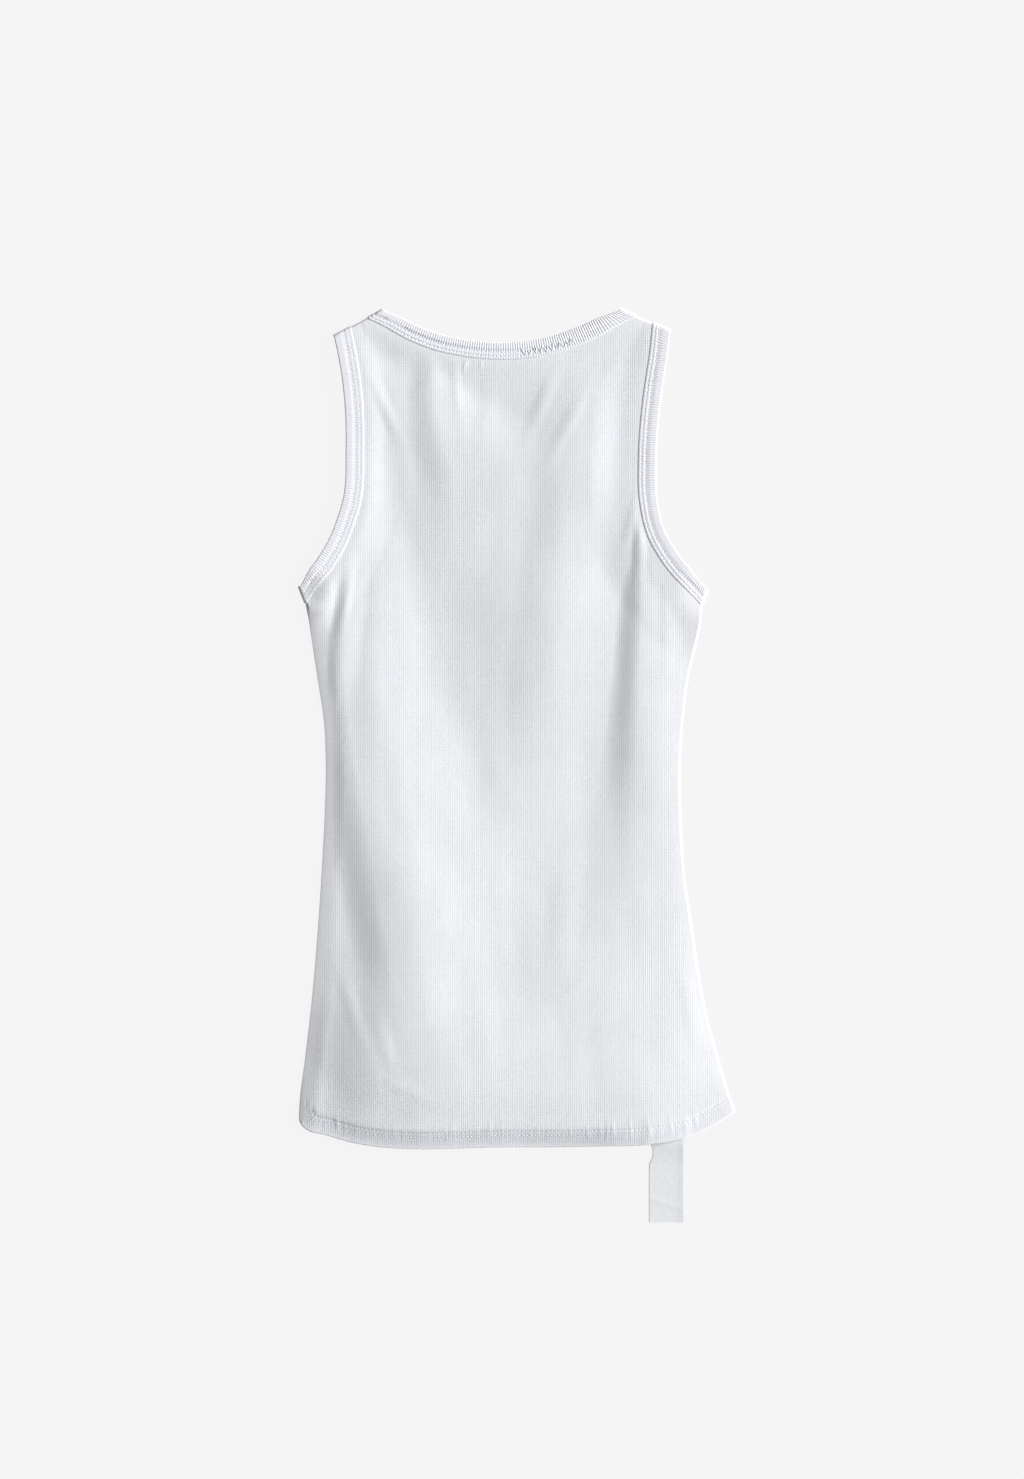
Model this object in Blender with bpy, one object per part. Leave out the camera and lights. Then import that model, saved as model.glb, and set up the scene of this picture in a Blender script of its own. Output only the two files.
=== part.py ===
"""Ribbed tank top, laid flat with its back up.

X runs across, Y from the hem to the neck and Z up from the surface it lies on. Lengths are in
millimetres until the meshes are made. Each cut piece is one closed wall of cloth:

- the two panels are walls over the same plan, whose side and shoulder edges roll a quarter turn
  to meet each other at mid height, with the hem turned up as a double wall;
- the neck and armhole bindings are strips folded round the raw edges, closed rings that turn
  over at the shoulders and underarms;
- the care label is caught between the hems and hangs below them.
"""
import math

import bmesh
import bpy
import numpy as np
from mathutils import Vector
from mathutils.geometry import delaunay_2d_cdt

MM = 0.001

# ---- driving dimensions -------------------------------------------------------------------
WALL = 1.0              # one thickness of cloth
GAP = 0.3               # between pieces that touch
LAYER = WALL + GAP      # one more layer in the stack
HEM_DEPTH = 11.5        # turned-up hem
ROLL = 8.0              # how far in from the side seam the back rolls over
FRONT_ROLL = 3.0        # and the front, whose underside lies flat
RIB_PITCH = 1.8         # body ribs, running up and down
RIB_HEIGHT = 0.35
BINDING_RIB_PITCH = 2.4
BINDING_RIB_HEIGHT = 0.3
LIP_RIB_HEIGHT = 0.15   # of the same ribs where the binding ends on the panel
ARMHOLE_WIDTH = 13.8    # folded width of the armhole bindings
NECK_WIDTH = 13.0
LABEL_THICKNESS = 1.0

# ---- heights that follow from them --------------------------------------------------------
BODY_TOP = 2 * WALL + GAP                    # back over front, nothing else between
BAND_LIFT = 3 * LAYER                        # the back's rise where the bindings lie
EXTRA_LIFT = 2 * LAYER                       # its rise over the hems, sides and front neck
STACK = BODY_TOP + BAND_LIFT + LAYER         # both bindings, one on the other
FOLD_RADIUS = STACK / 2                      # of the bindings' outer face where they turn over
PANEL_RADIUS = FOLD_RADIUS - LAYER           # of the panels inside them
BAND_HALF = (3 * WALL + 2 * GAP) / 2         # half a binding's thickness
FOLD_CENTRE = FOLD_RADIUS - BAND_HALF        # from the fold's axis to a binding's mid surface
LOW_SEAM = (BODY_TOP + EXTRA_LIFT) / 2       # height of the side seam below the bindings

# ---- plan of the garment ------------------------------------------------------------------
CENTRE = (-10.0, 150.0)                      # any point well inside, to tell in from out

LEFT_SIDE = (           # x, y, from the hem up to the underarm
    (-163.1, -265.5), (-162.4, -251.2), (-158.6, -221.2), (-153.4, -176.2), (-148.9, -123.8),
    (-145.9, -78.8), (-143.6, -33.8), (-142.9, 3.8), (-144.4, 33.8), (-148.9, 63.8),
    (-153.4, 93.8), (-155.6, 108.8))
RIGHT_SIDE = (
    (163.9, -259.5), (160.9, -251.2), (151.9, -221.2), (143.6, -191.2), (137.6, -161.2),
    (130.9, -116.2), (126.4, -86.2), (123.4, -41.2), (122.6, -11.2), (124.9, 33.8),
    (128.6, 63.8), (135.4, 93.8), (138.6, 108.8))
HEM_EDGE = (            # x, y, from left to right, between the two corners
    (-160.9, -270.0), (-155.6, -273.8), (-143.6, -276.8), (-124.1, -282.4), (-106.9, -285.4),
    (-82.1, -287.2), (-52.9, -287.2), (-28.1, -286.3), (32.6, -285.8), (62.6, -285.2),
    (99.4, -283.7), (119.6, -280.3), (131.6, -276.8), (146.6, -270.0))

SHOULDERS = {           # x, y of the fold's two ends: at the armhole and at the neck
    "left": ((-137.6, 321.8), (-100.1, 342.0)),
    "right": ((115.9, 326.2), (77.6, 342.4)),
}
UNDERARMS = {           # x, y of the fold's top and of its foot
    "left": ((-163.9, 133.5), (-159.0, 120.8)),
    "right": ((144.0, 132.0), (139.9, 119.6)),
}
FOLD_WIDTHS = {         # of the bindings along those folds, which they cross at a slant
    "neck": 13.4, "shoulder": 14.6, "underarm": 13.4}

BINDINGS = (            # each edge runs from its first fold to its second, as x, y
    {"name": "neck_binding", "width": NECK_WIDTH, "folds": ("neck, left", "neck, right"),
     "back": ((-87.4, 335.2), (-72.4, 328.1), (-57.4, 322.5), (-42.4, 319.1), (-12.4, 316.1),
              (17.6, 318.8), (32.6, 322.9), (47.6, 328.5), (62.6, 335.2)),
     "front": ((-93.0, 322.0), (-80.0, 292.0), (-68.0, 255.0), (-54.0, 220.0), (-34.0, 197.0),
               (-11.0, 190.0), (12.0, 197.0), (32.0, 220.0), (46.0, 255.0), (58.0, 292.0),
               (70.5, 322.0))},
    {"name": "armhole_binding_left", "width": ARMHOLE_WIDTH,
     "folds": ("shoulder, left", "underarm, left"),
     "back": ((-132.4, 300.0), (-129.0, 273.8), (-127.9, 236.2), (-130.1, 198.8),
              (-134.6, 183.8), (-140.6, 168.8), (-149.6, 153.8), (-155.2, 146.2)),
     "front": ((-130.4, 300.0), (-124.5, 270.0), (-122.5, 236.2), (-125.5, 198.8),
               (-131.6, 180.8), (-139.4, 166.0), (-149.6, 152.8), (-155.0, 146.0))},
    {"name": "armhole_binding_right", "width": ARMHOLE_WIDTH,
     "folds": ("shoulder, right", "underarm, right"),
     "back": ((113.4, 309.8), (110.2, 288.8), (107.2, 266.2), (104.6, 228.8), (105.4, 198.8),
              (110.6, 176.2), (120.4, 159.0), (132.4, 144.0)),
     "front": ((112.0, 309.8), (106.5, 287.0), (102.0, 262.0), (99.2, 228.8), (101.0, 197.0),
               (107.6, 174.2), (118.9, 157.5), (132.0, 143.6))},
)

# ---- relief of the back -------------------------------------------------------------------
CREASES = (             # x, y and height of the crest, then the reach of its two flanks
    ("body",
     ((-110, 30, 0.0, 40, 230), (-104, -10, 0.6, 44, 225), (-96, -50, 1.7, 50, 225),
      (-84, -90, 2.7, 62, 230), (-76, -130, 3.6, 72, 240), (-68, -165, 4.5, 82, 250),
      (-60, -200, 5.0, 90, 260), (-56, -240, 4.9, 96, 260), (-54, -290, 4.3, 100, 260))),
    ("left sweep",
     ((-122, 215, 0.2, 20, 34), (-115, 180, 0.7, 20, 36), (-108, 140, 1.1, 24, 42),
      (-105, 100, 1.6, 28, 46), (-101, 60, 1.8, 32, 52), (-93, 20, 1.9, 38, 60),
      (-81, -20, 1.8, 44, 66), (-72, -60, 1.6, 48, 78), (-64, -100, 1.2, 50, 86),
      (-58, -140, 0.5, 50, 84), (-54, -170, 0.0, 50, 80))),
    ("left diagonal",
     ((-132, 110, 0.0, 14, 40), (-128, 60, 0.9, 14, 50), (-123, 20, 1.2, 18, 56),
      (-117, -20, 1.9, 23, 60), (-111, -55, 2.2, 28, 60), (-103, -100, 2.3, 30, 62),
      (-96, -135, 2.0, 29, 62), (-91, -165, 1.3, 30, 60), (-86, -210, 0.0, 34, 60))),
    ("left side",
     ((-138, 160, 0.0, 10, 16), (-132, 132, 0.7, 11, 18), (-131, 100, 1.1, 12, 17),
      (-131, 75, 0.8, 12, 16), (-130, 45, 0.0, 14, 16))),
    ("right armhole",
     ((109, 184, 0.1, 9, 20), (103, 162, 0.9, 11, 30), (97, 140, 2.1, 17, 38),
      (94, 105, 2.6, 20, 42), (92, 65, 2.4, 22, 42), (91, 30, 2.3, 25, 42),
      (91, 0, 2.0, 29, 44), (90, -40, 1.5, 36, 46), (87, -80, 0.9, 40, 52),
      (80, -140, 0.0, 40, 50))),
    ("right side",
     ((118, 160, 0.3, 8, 12), (115, 140, 0.8, 9, 14), (114, 112, 0.7, 9, 14),
      (114, 75, 0.4, 9, 14), (114, 40, 0.0, 9, 14))),
    ("centre",
     ((46, 300, 0.5, 26, 50), (47, 262, 0.9, 26, 56), (44, 232, 1.1, 28, 58),
      (37, 200, 1.1, 30, 56), (31, 160, 0.9, 30, 52), (26, 130, 0.8, 30, 50),
      (24, 95, 0.6, 30, 48), (20, 50, 0.8, 36, 48), (14, 10, 0.7, 40, 48),
      (8, -30, 0.5, 42, 48), (0, -70, 0.0, 40, 46))),
    ("chest",
     ((66, 306, 0.4, 100, 60), (62, 262, 1.0, 120, 66), (54, 222, 1.5, 130, 74),
      (46, 180, 1.1, 110, 80), (38, 150, 1.1, 92, 84), (28, 112, 2.4, 94, 96),
      (22, 80, 2.2, 88, 104), (14, 45, 1.0, 76, 104), (4, 5, 0.0, 70, 100))),
    ("left of the neck",
     ((-64, 306, 0.4, 12, 14), (-63, 282, 1.1, 15, 18), (-58, 260, 1.3, 18, 34),
      (-53, 240, 1.6, 24, 70), (-48, 220, 1.7, 30, 76), (-46, 198, 1.2, 32, 70),
      (-46, 170, 0.5, 32, 66), (-46, 140, 0.0, 30, 60))),
    ("lower left",
     ((-114, -110, 0.0, 30, 60), (-118, -150, 0.9, 30, 60), (-119, -200, 1.8, 34, 62),
      (-120, -240, 1.6, 34, 62), (-122, -285, 1.1, 34, 60))),
    ("lower right",
     ((90, -30, 0.0, 60, 60), (93, -75, 0.9, 66, 60), (95, -120, 1.9, 82, 66),
      (97, -160, 2.6, 98, 72), (98, -200, 3.0, 106, 76), (98, -285, 3.0, 108, 80))),
)

# ---- care label ---------------------------------------------------------------------------
LABEL_SPAN = (99.0, 124.9)          # x of its two edges
LABEL_ROWS = (          # y, height of its underside, how far its left edge is drawn in
    (-268.0, BODY_TOP + GAP, 0.0), (-283.0, BODY_TOP + GAP, 0.0), (-287.0, 2.3, 1.6),
    (-292.0, 1.4, 2.4), (-296.5, 0.6, 1.9), (-298.5, 0.35, 0.2), (-303.0, 0.0, 0.0),
    (-325.0, 0.0, 0.4), (-342.7, 0.0, 0.8))

FINISHES = {            # colour and roughness
    "back_panel": ((0.80, 0.81, 0.84), 0.9),
    "front_panel": ((0.80, 0.81, 0.84), 0.9),
    "neck_binding": ((0.78, 0.79, 0.83), 0.9),
    "armhole_binding_left": ((0.78, 0.79, 0.83), 0.9),
    "armhole_binding_right": ((0.78, 0.79, 0.83), 0.9),
    "care_label": ((0.74, 0.75, 0.76), 0.6),
}

# ---- how finely each form is drawn --------------------------------------------------------
CURVE_POINTS = 240      # on a smooth curve before it is divided up
FIELD_POINTS = 48       # on a curve that heights are measured from
TURN = 24.0             # length over which a binding's ribs swing round to its fold
BAND_MARGIN = 6.0       # flat ground beside a binding before the cloth falls away
BAND_REACH = 25.0       # over which it falls
FRONT_REACH = 10.0      # the same beside the front's bindings
SIDE_SHELF = 6.0        # the same beside the side seams
SIDE_REACH = 20.0
NECK_MARGIN = 8.0       # and over the front neck's binding
NECK_REACH = 22.0
HEM_REACH = 12.0        # above the hem
LABEL_MARGIN = 2.0      # round the label's sewn end
LABEL_REACH = 20.0
HEM_HOLD = 0.35          # how far the hem's stitching flattens the creases
RIB_ROWS = (            # from x, to x, heights y at which the ribs there have corners
    (-170.0, 170.0, (-190.0, -90.0, 10.0, 100.0, 168.0, 230.0)),
    (-170.0, -45.0, (-140.0, -40.0)),           # along the left diagonal crease
    (-88.0, -40.0, (198.0,)),                   # over the binding of the front neck
    (18.0, 66.0, (198.0,)),
)
HEM_ROWS = (0.0, 12.0, 26.0)            # from the end of a rib at the hem
SIDE_ROWS = (0.0, 3.0, 14.0, 34.0)      # at a side
BAND_ROWS = (0.0, 3.0)                  # at a binding
ROW_SPACING = 2.5       # closest two rows on one rib may be
EDGE_STEP = 0.8         # how far inside the outline a rib stops
HEM_ROUND = 0.5         # rounding of the hem's edge
HEM_STEP = 0.7          # run of the step at the top of the turned-up hem
INNER_PITCH = 6.6       # columns of the plain inner face
SIDE_STATIONS = 15
HEM_STATIONS = 16
STATION_STEP = 12.5     # between corners along a binding, and along the raw edge in it
TURN_STEPS = 6          # round a binding's fold
FOLD_STEPS = (1.0, 0.87, 0.5)       # of a panel's radius there, from its seam in to the axis
MERGE = 1e-5
SHARP = math.radians(40)


# ---- curves -------------------------------------------------------------------------------
def unit(vectors):
    return vectors / np.linalg.norm(vectors, axis=-1, keepdims=True)


def square_to(vectors):
    """The vectors turned a quarter turn in the plan."""
    return np.stack([-vectors[..., 1], vectors[..., 0]], axis=-1)


def run_length(line):
    steps = np.linalg.norm(np.diff(line, axis=0), axis=1)
    return np.concatenate([[0.0], np.cumsum(steps)])


def at_shares(values, shares):
    """The values that an evenly divided curve carries at the given shares of its length."""
    places = np.linspace(0, 1, len(values))
    return np.stack([np.interp(shares, places, axis) for axis in values.T], axis=-1)


def smooth(points):
    """A smooth curve through the points, evenly divided."""
    points = np.array(points, float)
    knots = run_length(points)
    slopes = np.gradient(points, knots, axis=0)
    where = np.linspace(0, knots[-1], CURVE_POINTS)
    i = np.clip(np.searchsorted(knots, where, side="right") - 1, 0, len(knots) - 2)
    span = (knots[i + 1] - knots[i])[:, None]
    s = (where - knots[i])[:, None] / span
    start = (1 + 2 * s) * (1 - s) ** 2 * points[i] + s * (1 - s) ** 2 * span * slopes[i]
    end = s ** 2 * (3 - 2 * s) * points[i + 1] - s ** 2 * (1 - s) * span * slopes[i + 1]
    run = run_length(start + end)
    where = np.linspace(0, run[-1], CURVE_POINTS)
    return np.stack([np.interp(where, run, axis) for axis in (start + end).T], axis=-1)


def falloff(t):
    """1 at 0 and below, 0 at 1 and above, smooth between."""
    return 0.5 + 0.5 * np.cos(math.pi * np.clip(t, 0, 1))


def distance(points, line):
    """From each point to the nearest place on the line."""
    start, step = line[:-1], np.diff(line, axis=0)
    offset = points[:, None] - start
    t = np.clip((offset * step).sum(-1) / (step ** 2).sum(-1), 0, 1)
    return np.linalg.norm(offset - t[..., None] * step, axis=-1).min(axis=1)


def crossings(loop, x):
    """The heights at which the upright line at x crosses a closed loop, lowest first."""
    a, b = loop, np.roll(loop, -1, axis=0)
    cut = (a[:, 0] > x) != (b[:, 0] > x)
    share = (x - a[cut, 0]) / (b[cut, 0] - a[cut, 0])
    return np.sort(a[cut, 1] + share * (b[cut, 1] - a[cut, 1]))


def inside(points, loop):
    """Whether each point is inside a closed loop."""
    return np.array([np.sum(crossings(loop, x) > y) % 2 == 1 for x, y in points])


# ---- bindings -----------------------------------------------------------------------------
def fold_axis(name):
    """Where a binding turns over: its axis, the way across it and the way out of the garment."""
    end, side = name.split(", ")
    edge, foot = np.array(UNDERARMS[side] if end == "underarm" else SHOULDERS[side])
    if end == "neck":
        edge, foot = foot, edge
    across = unit(foot - edge)
    out = square_to(across)
    if out @ (edge - CENTRE) < 0:
        out = -out
    return {"edge": edge - FOLD_RADIUS * out, "across": FOLD_WIDTHS[end] * across, "out": out}


def on_fold(name, depth, past):
    """A point on a fold: this deep across it from the binding's edge, and this far past its axis."""
    fold = fold_axis(name)
    return fold["edge"] + depth * unit(fold["across"]) + past * fold["out"]


def strip(binding, half, shares):
    """The edge of one half of a binding and the vectors across it, at shares of its length."""
    first, last = (fold_axis(name) for name in binding["folds"])
    edge = smooth([first["edge"], *binding[half], last["edge"]])
    across = square_to(unit(np.gradient(edge, axis=0))) * binding["width"]
    if across[0] @ first["across"] < 0:
        across = -across
    run = run_length(edge)
    for end, apart in ((first, run), (last, run[-1] - run)):
        share = falloff(apart / TURN)[:, None]
        across = (1 - share) * across + share * end["across"]
    return at_shares(edge, shares), at_shares(across, shares)


def stations(binding, half):
    """Shares of a binding's length at which its plain faces, and the panel in it, have corners."""
    edge, _ = strip(binding, half, np.linspace(0, 1, CURVE_POINTS))
    return np.linspace(0, 1, 1 + round(run_length(edge)[-1] / STATION_STEP))


def binding_section():
    """Closed section of a binding: share of its width, inset from its edge, height, and the
    height of the ribs there."""
    outer, inner, crown = BAND_HALF, BAND_HALF - WALL, 1.1
    return (
        (1, 0.0, outer, LIP_RIB_HEIGHT),
        (0, crown, outer, BINDING_RIB_HEIGHT),
        (0, 0.0, outer / 2, 0),
        (0, 0.0, -outer / 2, 0),
        (0, crown, -outer, 0),
        (1, 0.0, -outer, 0),
        (1, 0.0, -inner, 0),
        (0, WALL, -inner, 0),
        (0, WALL, inner, 0),
        (1, 0.0, inner, 0),
    )


def binding_stations(piece, ribs):
    """Places round a binding: 0 to 1 along the back, 2 to 3 back along the front, and its two
    folds between them."""
    turn = np.arange(1, TURN_STEPS) / TURN_STEPS
    front = 3 - stations(piece, "front")[::-1]
    back = np.linspace(0, 1, 2 * ribs + 1) if ribs else stations(piece, "back")
    return np.concatenate([back, 1 + turn, front, 3 + turn])


def binding_ring(binding, places, share, inset, heights):
    """One ring of a binding, at one place of its section."""
    points = np.zeros((len(places), 3))
    halves = (("back", places <= 1, places, 1),
              ("front", (places >= 2) & (places <= 3), 3 - places, -1))
    for half, chosen, along, side in halves:
        edge, across = strip(binding, half, along[chosen])
        depth = share * np.linalg.norm(across, axis=1) + inset
        points[chosen, :2] = edge + depth[:, None] * unit(across)
        points[chosen, 2] = FOLD_RADIUS + side * (FOLD_CENTRE + heights[chosen])
    first, last = (fold_axis(name) for name in binding["folds"])
    turns = ((last, (places > 1) & (places < 2), places - 1), (first, places > 3, 4 - places))
    for end, chosen, turn in turns:
        angle = math.pi * turn[chosen]
        radius = FOLD_CENTRE + heights[chosen]
        depth = share * np.linalg.norm(end["across"]) + inset
        axis = end["edge"] + depth * unit(end["across"])
        points[chosen, :2] = axis + (radius * np.sin(angle))[:, None] * end["out"]
        points[chosen, 2] = FOLD_RADIUS + radius * np.cos(angle)
    return points


def zip_rings(first, second):
    """Triangles between two closed rings, each given as its places and its first vertex."""
    (a, a_start), (b, b_start) = first, second
    a_middle, b_middle = (places + np.append(places[1:], 4) for places in (a, b))
    faces, i, j = [], 0, 0
    while i < len(a) or j < len(b):
        corner = (a_start + i % len(a), b_start + j % len(b))
        if j == len(b) or (i < len(a) and a_middle[i] <= b_middle[j]):
            i += 1
            faces.append((*corner, a_start + i % len(a)))
        else:
            j += 1
            faces.append((*corner, b_start + j % len(b)))
    return faces


def binding(piece):
    """A strip folded round the raw edge, ribbed across where the back shows."""
    edge, _ = strip(piece, "back", np.linspace(0, 1, CURVE_POINTS))
    ribs = round(run_length(edge)[-1] / BINDING_RIB_PITCH)
    vertices, rings = [], []
    for share, inset, height, raised in binding_section():
        places = binding_stations(piece, ribs if raised else 0)
        heights = np.full(len(places), height)
        heights[1:2 * ribs:2] += raised
        rings.append((places, len(vertices)))
        vertices.extend(binding_ring(piece, places, share, inset, heights))
    faces = [face for first, second in zip(rings, rings[1:] + rings[:1])
             for face in zip_rings(first, second)]
    return add_piece(piece["name"], vertices, faces)


# ---- plan of a panel ----------------------------------------------------------------------
def side_line(points, roll, foot):
    """Stations up a side, moved in from the seam, starting some way up from the hem."""
    line = smooth(points)
    length = run_length(line)[-1]
    shares = np.linspace(0, 1, SIDE_STATIONS)
    step = np.array([HEM_DEPTH, HEM_DEPTH + HEM_STEP]) / length
    shares = np.union1d([foot / length, *step[step > foot / length]], shares[shares > 1.6 * step[1]])
    out = square_to(unit(np.gradient(line, axis=0)))
    if out[0] @ (line[0] - CENTRE) < 0:
        out = -out
    return at_shares(line, shares) - roll * at_shares(out, shares)


def hem_line(inset):
    """Stations along the hem from right to left, between the corners, moved up from its edge."""
    line = smooth([RIGHT_SIDE[0], *HEM_EDGE[::-1], LEFT_SIDE[0]])
    shares = np.linspace(0, 1, HEM_STATIONS + 2)[1:-1]
    run = run_length(line) / run_length(line)[-1]
    beside_label = (LABEL_SPAN[0] - LABEL_MARGIN, LABEL_SPAN[1] + LABEL_MARGIN)
    shares = np.union1d(shares, np.interp(beside_label, line[::-1, 0], run[::-1]))
    up = -square_to(unit(np.gradient(line, axis=0)))
    return at_shares(line, shares) + inset * at_shares(up, shares)


def raw_line(piece, half, raw, roll):
    """Stations along a raw edge inside its binding, with the corners where its folds begin."""
    share, inset = raw
    edge, across = strip(piece, half, stations(piece, half))
    depth = share * np.linalg.norm(across, axis=1) + inset
    line = edge + depth[:, None] * unit(across)
    reach = max(PANEL_RADIUS - roll, 0)
    first, last = (np.outer(FOLD_STEPS, fold_axis(name)["out"] * reach) for name in piece["folds"])
    if not reach:
        return line
    return np.array([*(line[0] + first), *line, *(line[-1] + last[::-1])])


def lip_corner(fold, roll):
    return on_fold(fold, FOLD_WIDTHS[fold.split(", ")[0]], PANEL_RADIUS - roll)


def turn_lines(roll):
    """Lines along the folds, from the raw edge to the lip, that carry a panel's turn there."""
    lines = []
    for piece in BINDINGS:
        for fold in piece["folds"]:
            width = FOLD_WIDTHS[fold.split(", ")[0]]
            for step in (*FOLD_STEPS[1:], 0):
                past = step * (PANEL_RADIUS - roll)
                lines.append([(*on_fold(fold, depth, past), 0) for depth in (WALL + GAP, width)])
    return lines


def outline(half, raw=(0, WALL + GAP), roll=0.0, hem=0.0):
    """A panel's outline, or one inside it by the given steps. raw is a share of the binding's
    width and an inset from there."""
    neck, left, right = (raw_line(piece, half, raw, roll) for piece in BINDINGS)
    under_lip = raw[0] * ARMHOLE_WIDTH + raw[1] < ARMHOLE_WIDTH
    corners = [[lip_corner(f"underarm, {side}", roll)] * under_lip for side in UNDERARMS]
    return np.array([
        *side_line(LEFT_SIDE, roll, hem), *corners[0], *left[::-1], *neck,
        *right, *corners[1], *side_line(RIGHT_SIDE, roll, hem)[::-1], *hem_line(hem)])


def hem_lines(roll):
    """The two sides of the step where the turned-up hem ends, from one side to the other."""
    lines = []
    for depth in (HEM_DEPTH, HEM_DEPTH + HEM_STEP):
        right, left = (side_line(side, roll, depth)[0] for side in (RIGHT_SIDE, LEFT_SIDE))
        lines.append([(x, y, 0) for x, y in (right, *hem_line(depth), left)])
    return lines


def end_rows(end):
    """Corners of a rib near one of its ends, as steps from there."""
    if end < LEFT_SIDE[1][1]:
        return HEM_ROWS
    return SIDE_ROWS if end < LEFT_SIDE[-1][1] else BAND_ROWS


def ribs(half, pitch, margin, plain=False):
    """Columns up and down a panel: x, y and 1 on a rib's crest."""
    loop = outline(half, **margin)
    columns = []
    count = int(np.ptp(loop[:, 0]) / pitch)
    for i in range(1, count + 1):
        x = loop[:, 0].min() + i * pitch
        ends = crossings(loop, x)
        for low, high in zip(ends[::2], ends[1::2]):
            rows = {low + row for row in end_rows(low)} | {high - row for row in end_rows(high)}
            for start, end, some in RIB_ROWS:
                rows |= set(some) if start <= x <= end else set()
            rows = sorted(row for row in rows if low <= row <= high)
            kept = [low]
            for row in rows:
                if row - kept[-1] > ROW_SPACING and (high - row > ROW_SPACING or row == high):
                    kept.append(row)
            flat = {high, low if end_rows(low) == BAND_ROWS else high}
            columns.append([(x, y, 0 if plain or y in flat else i % 2) for y in kept])
    return columns


# ---- how the cloth lies -------------------------------------------------------------------
def band_nearness(plan, half, margin, reach):
    """1 under the bindings and close beside them, 0 out in the body."""
    clear = np.ones(len(plan))
    for piece in BINDINGS:
        edge, _ = strip(piece, half, np.linspace(0, 1, FIELD_POINTS))
        beyond = distance(plan, edge) - piece["width"] - margin
        clear *= 1 - falloff(beyond / reach)
    return 1 - clear


def side_distance(plan):
    """From each point to the nearest edge that rolls over: the sides and the shoulders."""
    lines = []
    for name, side in (("left", LEFT_SIDE), ("right", RIGHT_SIDE)):
        underarm = [on_fold(f"underarm, {name}", depth, PANEL_RADIUS)
                    for depth in (FOLD_WIDTHS["underarm"], 0)]
        shoulder = [on_fold(f"{end}, {name}", 0, PANEL_RADIUS) for end in ("neck", "shoulder")]
        lines += [np.array([*side_line(side, 0, 0), *underarm]), np.array(shoulder)]
    return np.min([distance(plan, line) for line in lines], axis=0)


def hem_distance(plan):
    return distance(plan, smooth([RIGHT_SIDE[0], *HEM_EDGE[::-1], LEFT_SIDE[0]]))


def relief(plan):
    """Height of the back's creases: soft ridges, each with a steeper and a gentler flank."""
    x, y = plan.T
    total = np.zeros(len(plan))
    for _, crest in CREASES:
        crest = smooth(crest)[::-1].T
        across, height, left, right = (np.interp(y, crest[1], crest[i]) for i in (0, 2, 3, 4))
        offset = x - across
        total += height * falloff(np.abs(offset) / np.where(offset < 0, left, right))
    return total


def seam_height(plan):
    """Height at which the front and back meet at the sides and shoulders."""
    bands = band_nearness(plan, "back", BAND_MARGIN, BAND_REACH)
    return LOW_SEAM + (FOLD_RADIUS - LOW_SEAM) * bands


def back_ground(plan):
    """Height of the back's outer face where it isn't rolling over: what lies under it, and its
    creases."""
    bands = band_nearness(plan, "back", BAND_MARGIN, BAND_REACH)
    sides = falloff((side_distance(plan) - SIDE_SHELF) / SIDE_REACH)
    hem = falloff((hem_distance(plan) - HEM_DEPTH - 2) / HEM_REACH)
    front_edge, _ = strip(BINDINGS[0], "front", np.linspace(0, 1, FIELD_POINTS))
    beyond = distance(plan, front_edge) - NECK_WIDTH - NECK_MARGIN
    neck = np.where(inside(plan, front_edge), 1, falloff(beyond / NECK_REACH))
    x, y = plan.T
    past_label = np.maximum(LABEL_SPAN[0] - x, x - LABEL_SPAN[1]) - LABEL_MARGIN
    above_label = y - LABEL_ROWS[0][0] - LABEL_MARGIN
    label = falloff(past_label / LABEL_REACH) * falloff(above_label / LABEL_REACH)
    extra = 1 - (1 - sides) * (1 - hem) * (1 - neck)
    clear = (1 - bands) * (1 - label) * (1 - extra * EXTRA_LIFT / BAND_LIFT)
    creases = relief(plan) * (1 - bands) * (1 - HEM_HOLD * hem)
    return BODY_TOP + BAND_LIFT * (1 - clear) + creases


def front_ground(plan):
    """Height of the front's underside: on the surface, but for a binding's layer under it."""
    return LAYER * band_nearness(plan, "front", 1.0, FRONT_REACH)


def roll_over(plan, near, seam, ground, inset):
    """Heights that run from the seam at a rolled edge out to the ground, a quarter turn."""
    bands = band_nearness(plan, "back", BAND_MARGIN, BAND_REACH)
    reach = near + (PANEL_RADIUS - near) * bands - inset
    share = np.clip((side_distance(plan) - inset) / reach, 0, 1)
    return seam + (ground - seam) * np.sqrt(1 - (1 - share) ** 2)


def thickness(plan):
    """One wall, and two with the gap closed where the hem is turned up."""
    return np.where(hem_distance(plan) < HEM_DEPTH + HEM_STEP / 2, WALL + LAYER, WALL)


def hem_rounding(plan):
    return HEM_ROUND * falloff(hem_distance(plan) / HEM_ROUND)


# ---- panels -------------------------------------------------------------------------------
def triangulate(rings, columns=()):
    """The plan inside the first ring as triangles that keep every ring and column. Gives the
    plan's points with their ribs, the triangles, and the first ring's vertices."""
    points, edges = [], []
    for ring in rings:
        first = len(points)
        points.extend((x, y, 0) for x, y in ring)
        edges.extend((i, i + 1) for i in range(first, len(points) - 1))
        edges.append((len(points) - 1, first))
    for column in columns:
        first = len(points)
        points.extend(column)
        edges.extend((i, i + 1) for i in range(first, len(points) - 1))
    flat = [Vector(point[:2]) for point in points]
    plan, _, faces, origins, _, _ = delaunay_2d_cdt(flat, edges, [], 1, MERGE)
    crest = [max((points[i][2] for i in origin), default=0) for origin in origins]
    found = {i: vertex for vertex, origin in enumerate(origins) for i in origin}
    rim = [found[i] for i in range(len(rings[0]))]
    return np.array([(*point, up) for point, up in zip(plan, crest)]), faces, rim


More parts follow.
